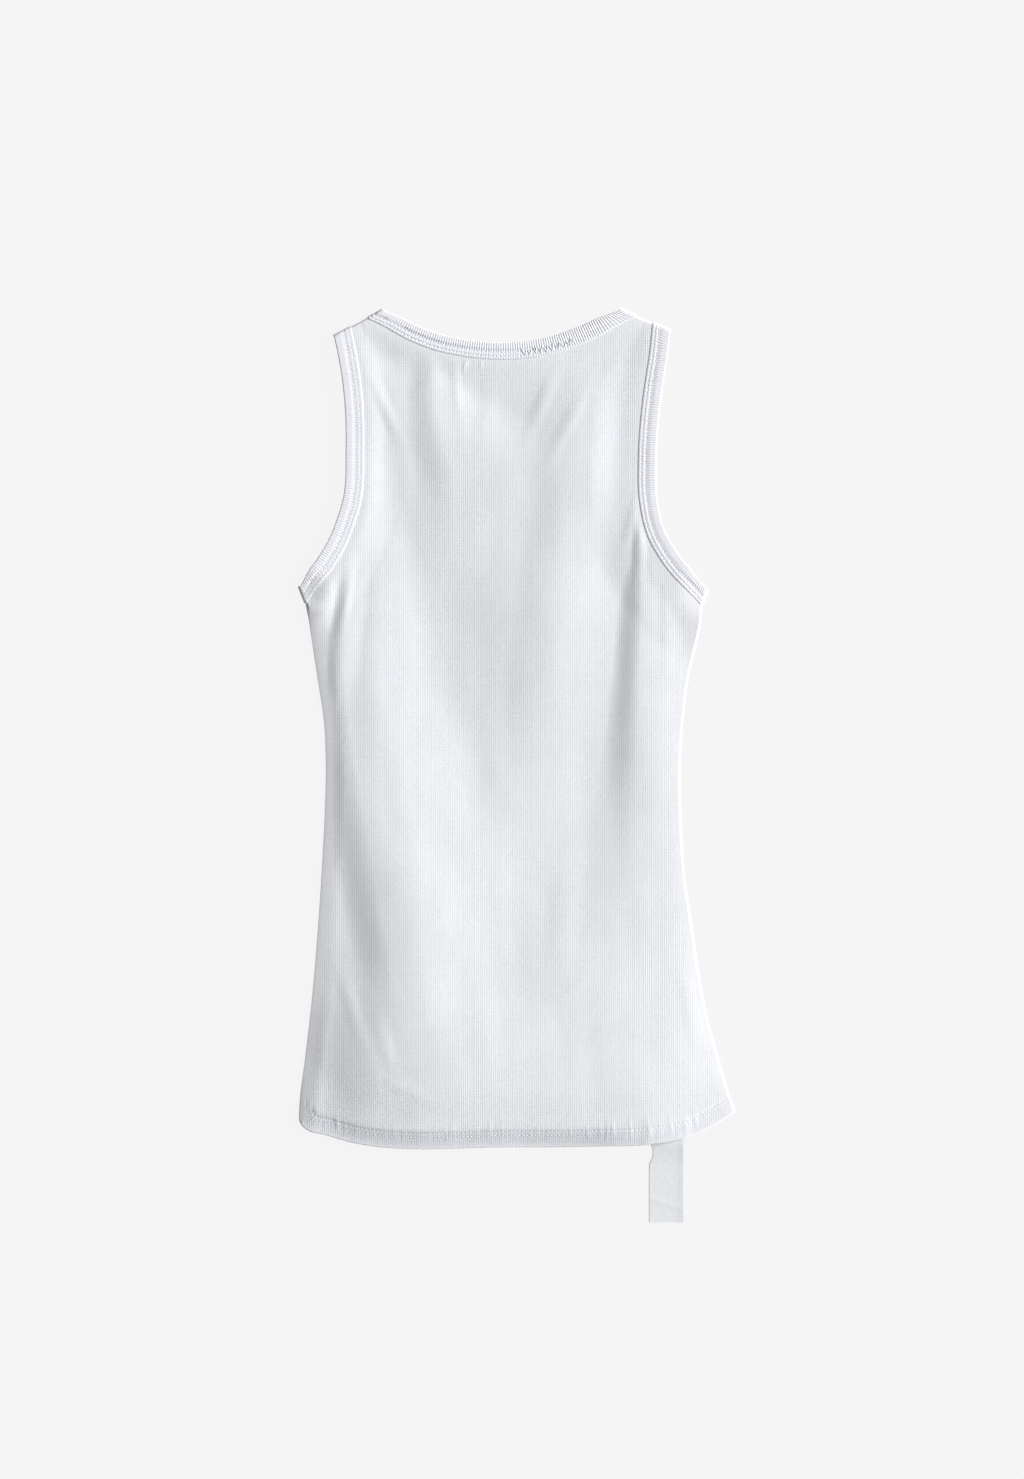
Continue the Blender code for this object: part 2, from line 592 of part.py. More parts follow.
def panel(name, upper, lower, upper_height, lower_height):
    """A closed wall from its two faces, each a plan with its heights, joined round the rim."""
    vertices, faces, rims = [], [], []
    for (plan, triangles, rim), height in ((upper, upper_height), (lower, lower_height)):
        first = len(vertices)
        heights = height(plan[:, :2]) + RIB_HEIGHT * plan[:, 2]
        vertices.extend(np.column_stack([plan[:, :2], heights]))
        faces.extend(tuple(first + i for i in triangle) for triangle in triangles)
        rims.append([first + i for i in rim])
    for (a, b), (c, d) in zip(zip(rims[0], np.roll(rims[0], -1)), zip(rims[1], np.roll(rims[1], -1))):
        faces.extend([(a, b, d), (a, d, c)])
    return add_piece(name, vertices, faces)


def back_panel():
    """The back: ribs and creases on its outer face, and a plain inside."""
    rib_field = {"raw": (1, 0.6), "roll": EDGE_STEP, "hem": EDGE_STEP}
    plain_field = {"raw": (1, 3.0), "roll": WALL + 4.0, "hem": HEM_DEPTH + HEM_STEP + 1}
    outer_lines = ribs("back", RIB_PITCH / 2, rib_field) + turn_lines(0)
    under_lip = {"raw": (1, 0.2), "roll": EDGE_STEP / 2, "hem": EDGE_STEP / 2}
    outer = triangulate([outline("back"), outline("back", **under_lip)], outer_lines)
    inner_lines = ribs("back", INNER_PITCH, plain_field, plain=True) + turn_lines(WALL)
    inner_rings = ({"roll": WALL}, {"raw": (1, 1.0), "roll": WALL + 1.5, "hem": 2 * HEM_ROUND})
    inner = triangulate([outline("back", **step) for step in inner_rings],
                        inner_lines + hem_lines(WALL))

    def outer_height(plan):
        ground = back_ground(plan) - hem_rounding(plan)
        return roll_over(plan, ROLL, seam_height(plan) + GAP / 2, ground, 0)

    def inner_height(plan):
        ground = back_ground(plan) - thickness(plan) + hem_rounding(plan)
        return roll_over(plan, ROLL, seam_height(plan) + GAP / 2, ground, WALL)

    return panel("back_panel", outer, inner, outer_height, inner_height)


def front_panel():
    """The front: its underside lies flat, its neck is cut lower and its edges roll up."""
    steps = ({}, {"raw": (1, 1.0), "roll": 0.5, "hem": 2 * HEM_ROUND},
             {"raw": (1, 6.0), "roll": 1.4, "hem": 4 * HEM_ROUND},
             {"raw": (1, 11.5), "roll": FRONT_ROLL, "hem": HEM_DEPTH + 3})
    inner_steps = [{**step, "roll": step.get("roll", 0) + WALL} for step in steps]
    outer = triangulate([outline("front", **step) for step in steps], turn_lines(0))
    inner = triangulate([outline("front", **step) for step in inner_steps],
                        turn_lines(WALL) + hem_lines(WALL))

    def outer_height(plan):
        ground = front_ground(plan) + hem_rounding(plan)
        return roll_over(plan, FRONT_ROLL, seam_height(plan) - GAP / 2, ground, 0)

    def inner_height(plan):
        ground = front_ground(plan) + thickness(plan) - hem_rounding(plan)
        return roll_over(plan, FRONT_ROLL, seam_height(plan) - GAP / 2, ground, WALL)

    return panel("front_panel", inner, outer, inner_height, outer_height)


# ---- care label ---------------------------------------------------------------------------
def care_label():
    """A woven strip that drops from between the hems on to the surface."""
    left, right = LABEL_SPAN
    vertices = []
    for y, low, drawn_in in LABEL_ROWS:
        for x, z in ((left + drawn_in, low), (right, low), (right, low + LABEL_THICKNESS),
                     (left + drawn_in, low + LABEL_THICKNESS)):
            vertices.append((x, y, z))
    faces = [(0, 1, 2, 3), tuple(len(vertices) - i for i in (1, 2, 3, 4))]
    for row in range(0, len(vertices) - 4, 4):
        for i in range(4):
            j = (i + 1) % 4
            faces.append((row + i, row + 4 + i, row + 4 + j, row + j))
    return add_piece("care_label", vertices, faces)


# ---- objects ------------------------------------------------------------------------------
def material(name, colour, roughness):
    made = bpy.data.materials.new(name)
    made.use_nodes = True
    shader = made.node_tree.nodes["Principled BSDF"]
    shader.inputs["Base Color"].default_value = (*colour, 1)
    shader.inputs["Roughness"].default_value = roughness
    shader.inputs["Metallic"].default_value = 0
    return made


def add_piece(name, vertices, faces):
    """A closed mesh object with its faces turned out."""
    mesh = bpy.data.meshes.new(name)
    form = bmesh.new()
    corners = [form.verts.new(Vector(point) * MM) for point in vertices]
    for face in faces:
        form.faces.new([corners[i] for i in face])
    loose = [vert for vert in form.verts if not vert.link_faces]
    bmesh.ops.delete(form, geom=loose, context="VERTS")
    bmesh.ops.recalc_face_normals(form, faces=form.faces)
    form.to_mesh(mesh)
    form.free()
    mesh.shade_smooth()
    mesh.set_sharp_from_angle(angle=SHARP)
    colour, roughness = FINISHES[name]
    mesh.materials.append(material(name, colour, roughness))
    piece = bpy.data.objects.new(name, mesh)
    bpy.context.scene.collection.objects.link(piece)
    return piece


def main():
    for old in list(bpy.data.objects):
        bpy.data.objects.remove(old)
    back_panel()
    front_panel()
    for piece in BINDINGS:
        binding(piece)
    care_label()


main()
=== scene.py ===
"""Ribbed tank top, laid flat with its back up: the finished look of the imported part.

The cloth is built again as thin shells on the part's own plan and heights, in millimetres, with
the ribs, the folded bindings, the needle rows and the soft creases that the plain solids leave
out. X runs across, Y from the hem to the neck and Z up from the floor.
"""
import math

import bmesh
import bpy
import numpy as np
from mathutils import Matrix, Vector
from mathutils.geometry import delaunay_2d_cdt


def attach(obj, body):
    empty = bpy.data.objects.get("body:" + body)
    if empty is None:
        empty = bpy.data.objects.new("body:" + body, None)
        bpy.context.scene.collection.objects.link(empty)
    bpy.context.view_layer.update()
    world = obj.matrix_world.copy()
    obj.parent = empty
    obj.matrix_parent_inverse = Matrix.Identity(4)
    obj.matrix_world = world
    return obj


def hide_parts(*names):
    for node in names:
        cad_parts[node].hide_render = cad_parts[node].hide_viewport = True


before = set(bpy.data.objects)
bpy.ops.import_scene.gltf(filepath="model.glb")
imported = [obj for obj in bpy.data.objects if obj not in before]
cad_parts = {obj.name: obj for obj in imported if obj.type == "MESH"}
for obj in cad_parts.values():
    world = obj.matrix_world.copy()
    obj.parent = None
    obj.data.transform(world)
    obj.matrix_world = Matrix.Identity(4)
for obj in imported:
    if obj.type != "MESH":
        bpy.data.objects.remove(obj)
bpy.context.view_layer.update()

MM = 0.001

# ---- sizes ----
WALL = 0.8  # one thickness of cloth
GAP = 0.08  # between layers that lie on each other
LAYER = WALL + GAP
HEM_DEPTH = 13.0  # turned-up hem
HEM_ROWS = (9.0, 12.2)  # depth of its two needle rows
HEM_GROOVES = (0.06, 0.15)  # how far each is sunk
HEM_ROUND = 0.7  # of its lower edge
HEM_STEP = 0.7  # over which its raw edge drops inside the panel
ROLLS = (15.0, 1.1)  # how far in from the left and right seams the back rolls over
ROLL_TOP = 275.0  # how far up that goes, and the height over which it then narrows
ROLL_NARROWS = 40.0
ROLL_EASE = 0.75  # share of the rolls' section that is a soft slope and not a round
EDGE_SHADE = 0.85  # painted shade: how much greyer the right edge is, where it turns to the light and would glare
FRONT_ROLL = 2.4
RIB_PITCH = 1.6
RIB_HEIGHT = 0.07
UNEVEN = 0.08  # how much the ribs differ from one another
ARMHOLE_WIDTH = 13.8
NECK_WIDTH = 13.0
BINDING_RIB_PITCH = 1.75
BINDING_ROWS = (2.6, 5.7)  # a binding's needle rows, in from its lip
LIP_WIDTH = 2.0  # of the strip at the lip that a pull on the binding leaves as it is
NEEDLE_DEPTH = 0.26
STRAIN = (0.85, 0.3)  # place and reach of the neck binding's pull round its right curve
STRONG_RIBS = 0.5  # how much deeper that makes the ribs
STRONG_ROWS = 0.9  # how much of their depth they keep across the needle rows
HIDDEN_ROWS = 0.85  # how much of the needle rows it hides
HIDDEN_DEPTH = 0.3  # how far it sinks their stitches
SUNK_SHADE = 0.8  # painted shade: how dark a binding's needle rows are
PUFF = 0.12  # of a binding between its needle rows and its edge
STITCH_STEP = 3.0  # from one stitch to the next
STITCH_SHARE = 0.86  # of the step that the thread shows for
STITCH_SINK = 0.8 * NEEDLE_DEPTH  # of a binding's stitches
HEM_SINK = 0.1  # of the hem's
THREAD = 0.21  # radius
THREAD_FORM = (1.15, 0.85)  # how much wider and how much flatter than that it is
THREAD_SIDES = 6
LEAF = 0.22  # one leaf of the label
LABEL_LIFT = 0.2  # of the cloth over its sewn end

BODY_TOP = 2 * WALL + GAP
BAND_LIFT = 3 * LAYER
EXTRA_LIFT = 2 * LAYER
STACK = BODY_TOP + BAND_LIFT + LAYER
FOLD_RADIUS = STACK / 2
PANEL_RADIUS = FOLD_RADIUS - LAYER
BAND_HALF = (3 * WALL + 2 * GAP) / 2
FOLD_CENTRE = FOLD_RADIUS - BAND_HALF
LIP_SWELL = 0.5  # of the cloth beside a lip
SIDE_SHARE = 0.5  # of the hem's rise, at the plain side seams

# ---- plan, as the part has it ----
CENTRE = (-10.0, 150.0)
LEFT_SIDE = (
    (-163.1, -265.5), (-162.4, -251.2), (-158.6, -221.2), (-153.4, -176.2), (-148.9, -123.8),
    (-145.9, -78.8), (-143.6, -33.8), (-142.9, 3.8), (-144.4, 33.8), (-148.9, 63.8),
    (-153.4, 93.8), (-155.6, 108.8))
RIGHT_SIDE = (
    (163.9, -259.5), (160.9, -251.2), (151.9, -221.2), (143.6, -191.2), (137.6, -161.2),
    (130.9, -116.2), (126.4, -86.2), (123.4, -41.2), (122.6, -11.2), (124.9, 33.8),
    (128.6, 63.8), (135.4, 93.8), (138.6, 108.8))
HEM_EDGE = (
    (-160.9, -270.0), (-155.6, -273.8), (-143.6, -276.8), (-124.1, -282.4), (-106.9, -285.4),
    (-82.1, -287.2), (-52.9, -287.2), (-28.1, -286.3), (32.6, -285.8), (62.6, -285.2),
    (99.4, -283.7), (119.6, -280.3), (131.6, -276.8), (146.6, -270.0))
SHOULDERS = {"left": ((-137.6, 321.8), (-100.1, 342.0)), "right": ((115.9, 326.2), (77.6, 342.4))}
UNDERARMS = {"left": ((-163.9, 133.5), (-159.0, 120.8)), "right": ((144.0, 132.0), (139.9, 119.6))}
FOLD_WIDTHS = {"neck": 13.4, "shoulder": 14.6, "underarm": 13.4}
BINDINGS = (
    {"name": "neck_binding", "width": NECK_WIDTH, "rib_depth": 0.24,
     "needle_depth": NEEDLE_DEPTH, "folds": ("neck, left", "neck, right"),
     "back": ((-87.4, 335.2), (-72.4, 328.1), (-57.4, 322.5), (-42.4, 319.1), (-12.4, 316.1),
              (17.6, 318.8), (32.6, 322.9), (47.6, 328.5), (62.6, 335.2)),
     "front": ((-93.0, 322.0), (-80.0, 292.0), (-68.0, 255.0), (-54.0, 220.0), (-34.0, 197.0),
               (-11.0, 190.0), (12.0, 197.0), (32.0, 220.0), (46.0, 255.0), (58.0, 292.0),
               (70.5, 322.0))},
    {"name": "armhole_binding_left", "width": ARMHOLE_WIDTH, "rib_depth": 0.15,
     "needle_depth": 0.12, "folds": ("shoulder, left", "underarm, left"),
     "back": ((-132.4, 300.0), (-129.0, 273.8), (-127.9, 236.2), (-130.1, 198.8),
              (-134.6, 183.8), (-140.6, 168.8), (-149.6, 153.8), (-155.2, 146.2)),
     "front": ((-130.4, 300.0), (-124.5, 270.0), (-122.5, 236.2), (-125.5, 198.8),
               (-131.6, 180.8), (-139.4, 166.0), (-149.6, 152.8), (-155.0, 146.0))},
    {"name": "armhole_binding_right", "width": ARMHOLE_WIDTH, "rib_depth": 0.19,
     "needle_depth": NEEDLE_DEPTH, "folds": ("shoulder, right", "underarm, right"),
     "back": ((113.4, 309.8), (110.2, 288.8), (107.2, 266.2), (104.6, 228.8), (105.4, 198.8),
              (110.6, 176.2), (120.4, 159.0), (132.4, 144.0)),
     "front": ((112.0, 309.8), (106.5, 287.0), (102.0, 262.0), (99.2, 228.8), (101.0, 197.0),
               (107.6, 174.2), (118.9, 157.5), (132.0, 143.6))},
)
LABEL_SPAN = (99.0, 124.9)
LABEL_TOP = -268.0

# ---- relief of the back ----
CREASES = {  # x, y and height of the crest, then the reach of its two flanks
    "body": (
        (-110, 30, 0, 40, 230), (-104, -10, 0.6, 44, 225), (-96, -50, 1.7, 50, 225),
        (-84, -90, 2.7, 62, 230), (-74, -130, 3.5, 76, 240), (-60, -165, 4.2, 92, 250),
        (-46, -200, 4.8, 108, 260), (-38, -240, 4.9, 118, 260), (-36, -290, 4.3, 122, 260)),
    "left sweep": (
        (-122, 215, 0.2, 20, 34), (-115, 180, 1.1, 26, 36), (-108, 140, 1.7, 30, 42),
        (-105, 100, 1.8, 32, 46), (-101, 60, 1.8, 32, 52), (-93, 20, 1.9, 38, 60),
        (-81, -20, 1.8, 44, 66), (-72, -60, 1.6, 48, 78), (-64, -100, 1.2, 50, 86),
        (-58, -140, 0.5, 50, 84), (-54, -170, 0, 50, 80)),
    "left diagonal": (
        (-132, 110, 0, 14, 40), (-128, 60, 0.9, 14, 50), (-123, 20, 1.2, 18, 56),
        (-117, -20, 1.9, 23, 60), (-111, -55, 2.2, 28, 60), (-103, -100, 2.3, 30, 80),
        (-96, -135, 2.0, 29, 100), (-91, -165, 1.3, 30, 100), (-86, -210, 0, 34, 60)),
    "left side": (
        (-123, 168, 0, 9, 14), (-123, 146, 0.6, 10, 15), (-126, 122, 1.1, 11, 16),
        (-130, 96, 1.1, 12, 17), (-132, 70, 0.7, 12, 17), (-135, 40, 0, 12, 16)),
    "right armhole": (
        (109, 184, 0.1, 9, 20), (103, 162, 0.9, 11, 30), (97, 140, 1.9, 17, 38),
        (94, 105, 2.6, 20, 42), (92, 65, 2.4, 22, 42), (91, 30, 2.3, 25, 42),
        (91, 0, 2.0, 29, 44), (90, -40, 1.5, 36, 46), (87, -80, 0.9, 40, 52),
        (80, -140, 0, 40, 50)),
    "right side": (
        (118, 160, 0.3, 8, 12), (115, 140, 0.7, 9, 14), (114, 112, 0.4, 9, 14),
        (114, 75, 0.1, 9, 14), (114, 40, 0, 9, 14)),
    "centre": (
        (46, 300, 0.8, 50, 50), (47, 262, 1.4, 56, 56), (44, 232, 1.4, 46, 58),
        (37, 200, 1.1, 30, 56), (31, 160, 0.9, 30, 52), (26, 130, 0.8, 30, 50),
        (24, 95, 0.6, 30, 48), (20, 50, 0.8, 36, 48), (14, 10, 0.7, 40, 48),
        (8, -30, 0.5, 42, 48), (0, -70, 0, 40, 46)),
    "chest": (
        (66, 306, 0.4, 100, 60), (62, 262, 1.0, 120, 66), (54, 222, 1.5, 130, 74),
        (46, 180, 1.1, 110, 80), (38, 150, 1.1, 92, 84), (28, 112, 2.4, 94, 96),
        (22, 80, 2.2, 88, 104), (14, 45, 1.0, 76, 104), (4, 5, 0, 70, 100)),
    "left shoulder": (
        (-90, 300, 0, 18, 40), (-89, 278, 0.5, 18, 40), (-84, 246, 0.6, 20, 44),
        (-80, 210, 0.3, 22, 44), (-78, 170, 0, 24, 40)),
    "left of the neck": (
        (-64, 306, 0.4, 12, 14), (-63, 282, 1.3, 21, 34), (-58, 260, 1.6, 25, 64),
        (-53, 240, 1.9, 29, 90), (-48, 220, 1.7, 30, 100), (-46, 198, 1.2, 32, 90),
        (-46, 170, 0.5, 32, 66), (-46, 140, 0, 30, 60)),
    "lower left": (
        (-108, -110, 0, 34, 90), (-108, -150, 1.1, 42, 110), (-106, -185, 3.2, 52, 140),
        (-104, -220, 4.7, 60, 170), (-103, -255, 4.7, 60, 170), (-103, -290, 2.8, 58, 150)),
    "lower right": (
        (84, -30, 0, 60, 56), (87, -75, 1.1, 90, 64), (89, -120, 2.4, 120, 74),
        (91, -160, 3.4, 140, 84), (92, -200, 4.2, 160, 92), (94, -285, 4.2, 160, 96)),
}
SETTLED = (((-161.5, 127.0), 24.0, 0.4), ((142.0, 126.0), 26.0, 0.3))  # corner, reach, share
HEM_HOLD = 0.35  # how far the hem's stitching flattens the creases
HEM_FALL = 0.7  # how far they fall to the floor at its edge, and over what depth
HEM_FALL_REACH = 17.0
HEM_FALL_END = (20, 100)  # x where that starts to fade towards the label, and over what width
PUCKERS = (  # from x, y to x, y; height, and reach to each side
    ((117, -262), (121, -279), 0.04, 2.2), ((123, -260), (128, -277), 0.05, 2.4),
    ((130, -257), (136, -273), 0.04, 2.2), ((137, -255), (144, -268), 0.03, 2.4),
    ((-37, 303), (-40, 296), 0.25, 2.4), ((-26, 303), (-27, 297), 0.16, 2.2),
    ((30, 297), (6, 240), 0.3, 8.0), ((55, 288), (22, 222), 0.3, 8.0),
    ((-107, 288), (-89, 246), 0.36, 7.0), ((-18, 290), (-26, 236), 0.12, 10.0),
    ((-47, 304), (-43, 262), 0.2, 6.0), ((-124, 154), (-133, 98), 0.6, 8.0),
    ((-65, 307), (-60, 280), 0.2, 8.0), ((93, 208), (80, 160), 0.25, 6.0),
    ((93.5, 188), (91, 136), 0.55, 7.0), ((-20, 60), (-14, -40), 0.2, 14.0),
    ((40, -60), (30, -170), 0.2, 16.0), ((-30, -150), (-22, -240), 0.2, 16.0),
    ((-133, -150), (-112, -218), 0.2, 8.0), ((-104, -188), (-92, -230), 0.2, 8.0),
    ((-108, -232), (-60, -252), 0.22, 6.0), ((124, -150), (136, -216), 0.2, 9.0),
)
SMALL_PUCKERS = 64  # along the hem's needle rows
SMALL_SPAN = (-152, 146)  # from x to x
GATHERED_SPAN = (52, 98)  # where they are a little higher
RIPPLES = 12  # low waves all over the cloth
RIPPLE = 0.009  # height of each
HEM_PUFF = 0.12  # of the cloth above the hem's upper row

# ---- reaches and fineness ----
CURVE_POINTS = 400  # on a smooth curve before it is divided up
FIELD_POINTS = 60  # on a curve that heights are measured from
HEM_POINTS = 90  # on the hem's curve, for the same
SLOPE_POINTS = 200  # on it, for its slope
ROUND_POINTS = 3000  # right round a binding, to find its stitches
EDGE_POINTS = 2000  # along the back of the neck's, to find where it closes
TURN = 24.0  # length over which a binding's ribs swing round to its fold
FADE_ACROSS = (-80, 60)  # x where the next three change from the left value to the right one
BAND_MARGINS = (3.0, 6.0)  # flat ground beside a binding
BAND_REACHES = (25.0, 38.0)  # the fall beyond it
LOOSE_REACHES = (24.0, 36.0)  # over which the creases grow beside a binding
FRONT_MARGIN = 1.0
FRONT_REACH = 10.0
LIP_REACH = 11.0
SWELL_REACH = 20.0
SIDE_SHELF = 3.0
SIDE_REACH = 50.0
NECK_MARGIN = 8.0
NECK_REACH = 80.0
HEM_REACH = 28.0
SEAM_REACH = 20.0  # over which the side seams rise above the hem
LABEL_MARGIN = 0.5
LABEL_REACH = 8.0
ROW_STEP = 5.4  # between the points of a rib, away from its two ends
FOOT_STEPS = (0.0, 0.9, 2.6, 4.8, 6.8, 7.8, 8.2, 8.6, 9.4, 10.2, 11.0, 11.4, 11.8, 12.5, 14.4)
HEAD_STEPS = (0.0, 0.7, 1.8, 4.0)  # where it ends at a binding
SIDE_STEPS = (0.0, 1.6, 4.2)  # where it ends at a side seam
ROW_CLEAR = 1.6  # between the even points and those at the ends
SHORT_STEP = 0.9  # between the points of a rib that is too short for both
SHORTEST = 1.5  # column that is built
SIDE_STATIONS = 120
HEM_STATIONS = 130
CORNER_CLEAR = 1.5  # between the hem's last stations and its corners
STATION_STEP = 3.0
FIELD_INSET = 0.8  # of the ribbed field from the hem
RIB_PHASES = ((0.0, 0.0), (0.2, 0.6), (0.5, 1.0), (0.8, 0.6))  # place in the pitch, height
INNER_PITCH = 3.4
INNER_STEP = 9.0
FOLD_STEPS = (1.0, 0.87, 0.5)
FOLD_RIBS = 5  # of a binding round its fold
MERGE = 1e-3
CORNER = math.radians(62)  # sharper edges than this aren't shaded round
SEED = 7


# ---- curves ----
def unit(vectors):
    return vectors / np.maximum(np.linalg.norm(vectors, axis=-1, keepdims=True), 1e-9)


def square_to(vectors):
    return np.stack([-vectors[..., 1], vectors[..., 0]], axis=-1)


def facing(vectors, first, way):
    """The vectors, turned about if the first of them points against the given way."""
    return -vectors if first @ way < 0 else vectors


def run_length(line):
    steps = np.linalg.norm(np.diff(line, axis=0), axis=1)
    return np.concatenate([[0.0], np.cumsum(steps)])


def at_shares(values, shares):
    """The values that an evenly divided curve carries at the given shares of its length."""
    places = np.linspace(0, 1, len(values))
    return np.stack([np.interp(shares, places, axis) for axis in values.T], axis=-1)


def smooth(points, count=CURVE_POINTS):
    """A smooth curve through the points, evenly divided."""
    points = np.array(points, float)
    knots = run_length(points)
    slopes = np.gradient(points, knots, axis=0)
    where = np.linspace(0, knots[-1], CURVE_POINTS)
    i = np.clip(np.searchsorted(knots, where, side="right") - 1, 0, len(knots) - 2)
    span = (knots[i + 1] - knots[i])[:, None]
    s = (where - knots[i])[:, None] / span
    start = (1 + 2 * s) * (1 - s) ** 2 * points[i] + s * (1 - s) ** 2 * span * slopes[i]
    end = s ** 2 * (3 - 2 * s) * points[i + 1] - s ** 2 * (1 - s) * span * slopes[i + 1]
    run = run_length(start + end)
    where = np.linspace(0, run[-1], count)
    return np.stack([np.interp(where, run, axis) for axis in (start + end).T], axis=-1)


def falloff(t):
    """1 at 0 and below, 0 at 1 and above, smooth between."""
    return 0.5 + 0.5 * np.cos(math.pi * np.clip(t, 0, 1))


def hump(t):
    """1 at 0, fading smoothly to both sides."""
    return np.exp(-t ** 2)


def distance(points, line):
    """From each point to the nearest place on the line."""
    nearest = np.full(len(points), np.inf)
    for start, end in zip(line[:-1], line[1:]):
        step = end - start
        t = np.clip((points - start) @ step / (step @ step), 0, 1)
        nearest = np.minimum(nearest, np.linalg.norm(points - start - t[:, None] * step, axis=1))
    return nearest


def spans(loop, x):
    """The stretches, from low to high, where a column at x runs inside the loop."""
    a, b = loop, np.roll(loop, -1, axis=0)
    cut = (a[:, 0] > x) != (b[:, 0] > x)
    share = (x - a[cut, 0]) / (b[cut, 0] - a[cut, 0])
    ends = np.sort(a[cut, 1] + share * (b[cut, 1] - a[cut, 1]))
    return [(low, high) for low, high in zip(ends[::2], ends[1::2]) if high - low > SHORTEST]


def inside(points, loop):
    within = np.zeros(len(points), bool)
    x, y = points.T
    for (ax, ay), (bx, by) in zip(loop, np.roll(loop, -1, axis=0)):
        if ax != bx:
            within ^= ((ax > x) != (bx > x)) & (ay + (x - ax) / (bx - ax) * (by - ay) > y)
    return within


# ---- bindings ----
def fold_axis(fold):
    """Where a binding turns over: its axis, the way across it and the way out of the garment."""
    end, side = fold.split(", ")
    edge, foot = np.array(UNDERARMS[side] if end == "underarm" else SHOULDERS[side])
    if end == "neck":
        edge, foot = foot, edge
    across = unit(foot - edge)
    out = square_to(across)
    out = facing(out, out, edge - CENTRE)
    return {"edge": edge - FOLD_RADIUS * out, "across": FOLD_WIDTHS[end] * across, "out": out}


def fold_width(fold):
    return FOLD_WIDTHS[fold.split(", ")[0]]


def on_fold(fold, depth, past):
    fold = fold_axis(fold)
    return fold["edge"] + depth * unit(fold["across"]) + past * fold["out"]


def strip(piece, half, shares):
    """The edge of one half of a binding and the vectors across it, at shares of its length."""
    first, last = (fold_axis(fold) for fold in piece["folds"])
    edge = smooth([first["edge"], *piece[half], last["edge"]])
    across = square_to(unit(np.gradient(edge, axis=0))) * piece["width"]
    across = facing(across, across[0], first["across"])
    run = run_length(edge)
    for end, apart in ((first, run), (last, run[-1] - run)):
        share = falloff(apart / TURN)[:, None]
        across = (1 - share) * across + share * end["across"]
    return at_shares(edge, shares), at_shares(across, shares)


def half_length(piece, half):
    edge, _ = strip(piece, half, np.linspace(0, 1, CURVE_POINTS))
    return run_length(edge)[-1]


def lay_round(piece, places, share, inset, height):
    """Points of a binding at places round it: 0 to 1 along the back, 2 to 3 back along the front
    and its two folds between. Each lies a share of the width and an inset in from the edge, and
    this far out from the binding's middle."""
    places, share, inset, height = np.broadcast_arrays(
        *(np.asarray(value, float) for value in (places, share, inset, height)))
    places = places % 4
    first, last = (fold_axis(fold) for fold in piece["folds"])
    edge, across = strip(piece, "back", places)
    front_edge, front_across = strip(piece, "front", 3 - places)
    front = (places > 2) & (places < 3)
    edge[front], across[front] = front_edge[front], front_across[front]
    turn = np.where(front, math.pi, 0.0)
    out = np.zeros_like(edge)
    for end, chosen, angle in ((last, (places > 1) & (places <= 2), places - 1),
                               (first, places >= 3, 4 - places)):
        edge[chosen], across[chosen], out[chosen] = end["edge"], end["across"], end["out"]
        turn[chosen] = math.pi * angle[chosen]
    depth = share * np.linalg.norm(across, axis=-1) + inset
    radius = FOLD_CENTRE + height
    plan = edge + depth[..., None] * unit(across) + (radius * np.sin(turn))[..., None] * out
    return np.concatenate([plan, (FOLD_RADIUS + radius * np.cos(turn))[..., None]], axis=-1)


def binding_section(needle_depth):
    """Closed section of a binding: share of its width, inset, height, how much its ribs cut in
    there and how much it puffs up."""
    half, inner = BAND_HALF, BAND_HALF - WALL
    near, far = BINDING_ROWS
    rows = (  # from the lip to the crown: inset, how far sunk in needle depths, ribs
        (0.0, 1.4, 0.2), (0.3, 0.6, 0.4), (0.8, 0.15, 0.6), (1.5, 0.0, 0.7),
        (near - 0.6, 0.02, 0.5), (near - 0.28, 0.6, 0.3), (near, 1.0, 0.1),
        (near + 0.28, 0.6, 0.3), (near + 0.7, 0.02, 0.5), (4.2, -0.1, 0.6),
        (far - 0.7, 0.02, 0.5), (far - 0.28, 0.6, 0.3), (far, 1.0, 0.1),
        (far + 0.3, 0.6, 0.3), (far + 0.8, 0.1, 0.8), (far + 1.7, 0.0, 1.0))
    crown = ((0.42, 0, half, 1, 0.8), (0.33, 0, half, 1, 1.0), (0.24, 0, half, 1, 0.9),
             (0, 2.1, half, 1, 0.85), (0, 1.1, half, 1, 0.8), (0, 0.42, half - 0.02, 1, 0.7),
             (0, 0.13, half - 0.15, 1, 0.3), (0, 0.02, half - 0.6, 1, 0))
    upper = [(1, -inset, half - sink * needle_depth, rib, 0) for inset, sink, rib in rows]
    upper += crown
    lower = [(share, inset, -height, rib, 0) for share, inset, height, rib, _ in upper[::-1]]
    return [*upper, (0, 0.0, 0.0, 1, 0), *lower, (1, 0.0, -inner, 0, 0), (0, WALL, -inner, 0, 0),
            (0, WALL, inner, 0, 0), (1, 0.0, inner, 0, 0)]


def binding_places(piece):
    """Stations round a binding, four to a rib, and how deep each lies in the groove between."""
    back, front = (round(half_length(piece, half) / BINDING_RIB_PITCH)
                   for half in ("back", "front"))
    places, cuts = [], []
    for start, ribs in enumerate((back, FOLD_RIBS, front, FOLD_RIBS)):
        for rib in range(ribs):
            for phase, height in RIB_PHASES:
                places.append(start + (rib + phase) / ribs)
                cuts.append(1 - height)
    return np.array(places), np.array(cuts)


def facing_up(places):
    """1 along the back of a binding, 0 along its front."""
    places = places % 4
    return falloff(np.where(places < 2, places - 1, 4 - places))


def strain(piece, places):
    """1 where the neck's binding is pulled round its right curve, which hides its needle rows."""
    return falloff(np.abs(places - STRAIN[0]) / STRAIN[1]) * (piece["name"] == "neck_binding")


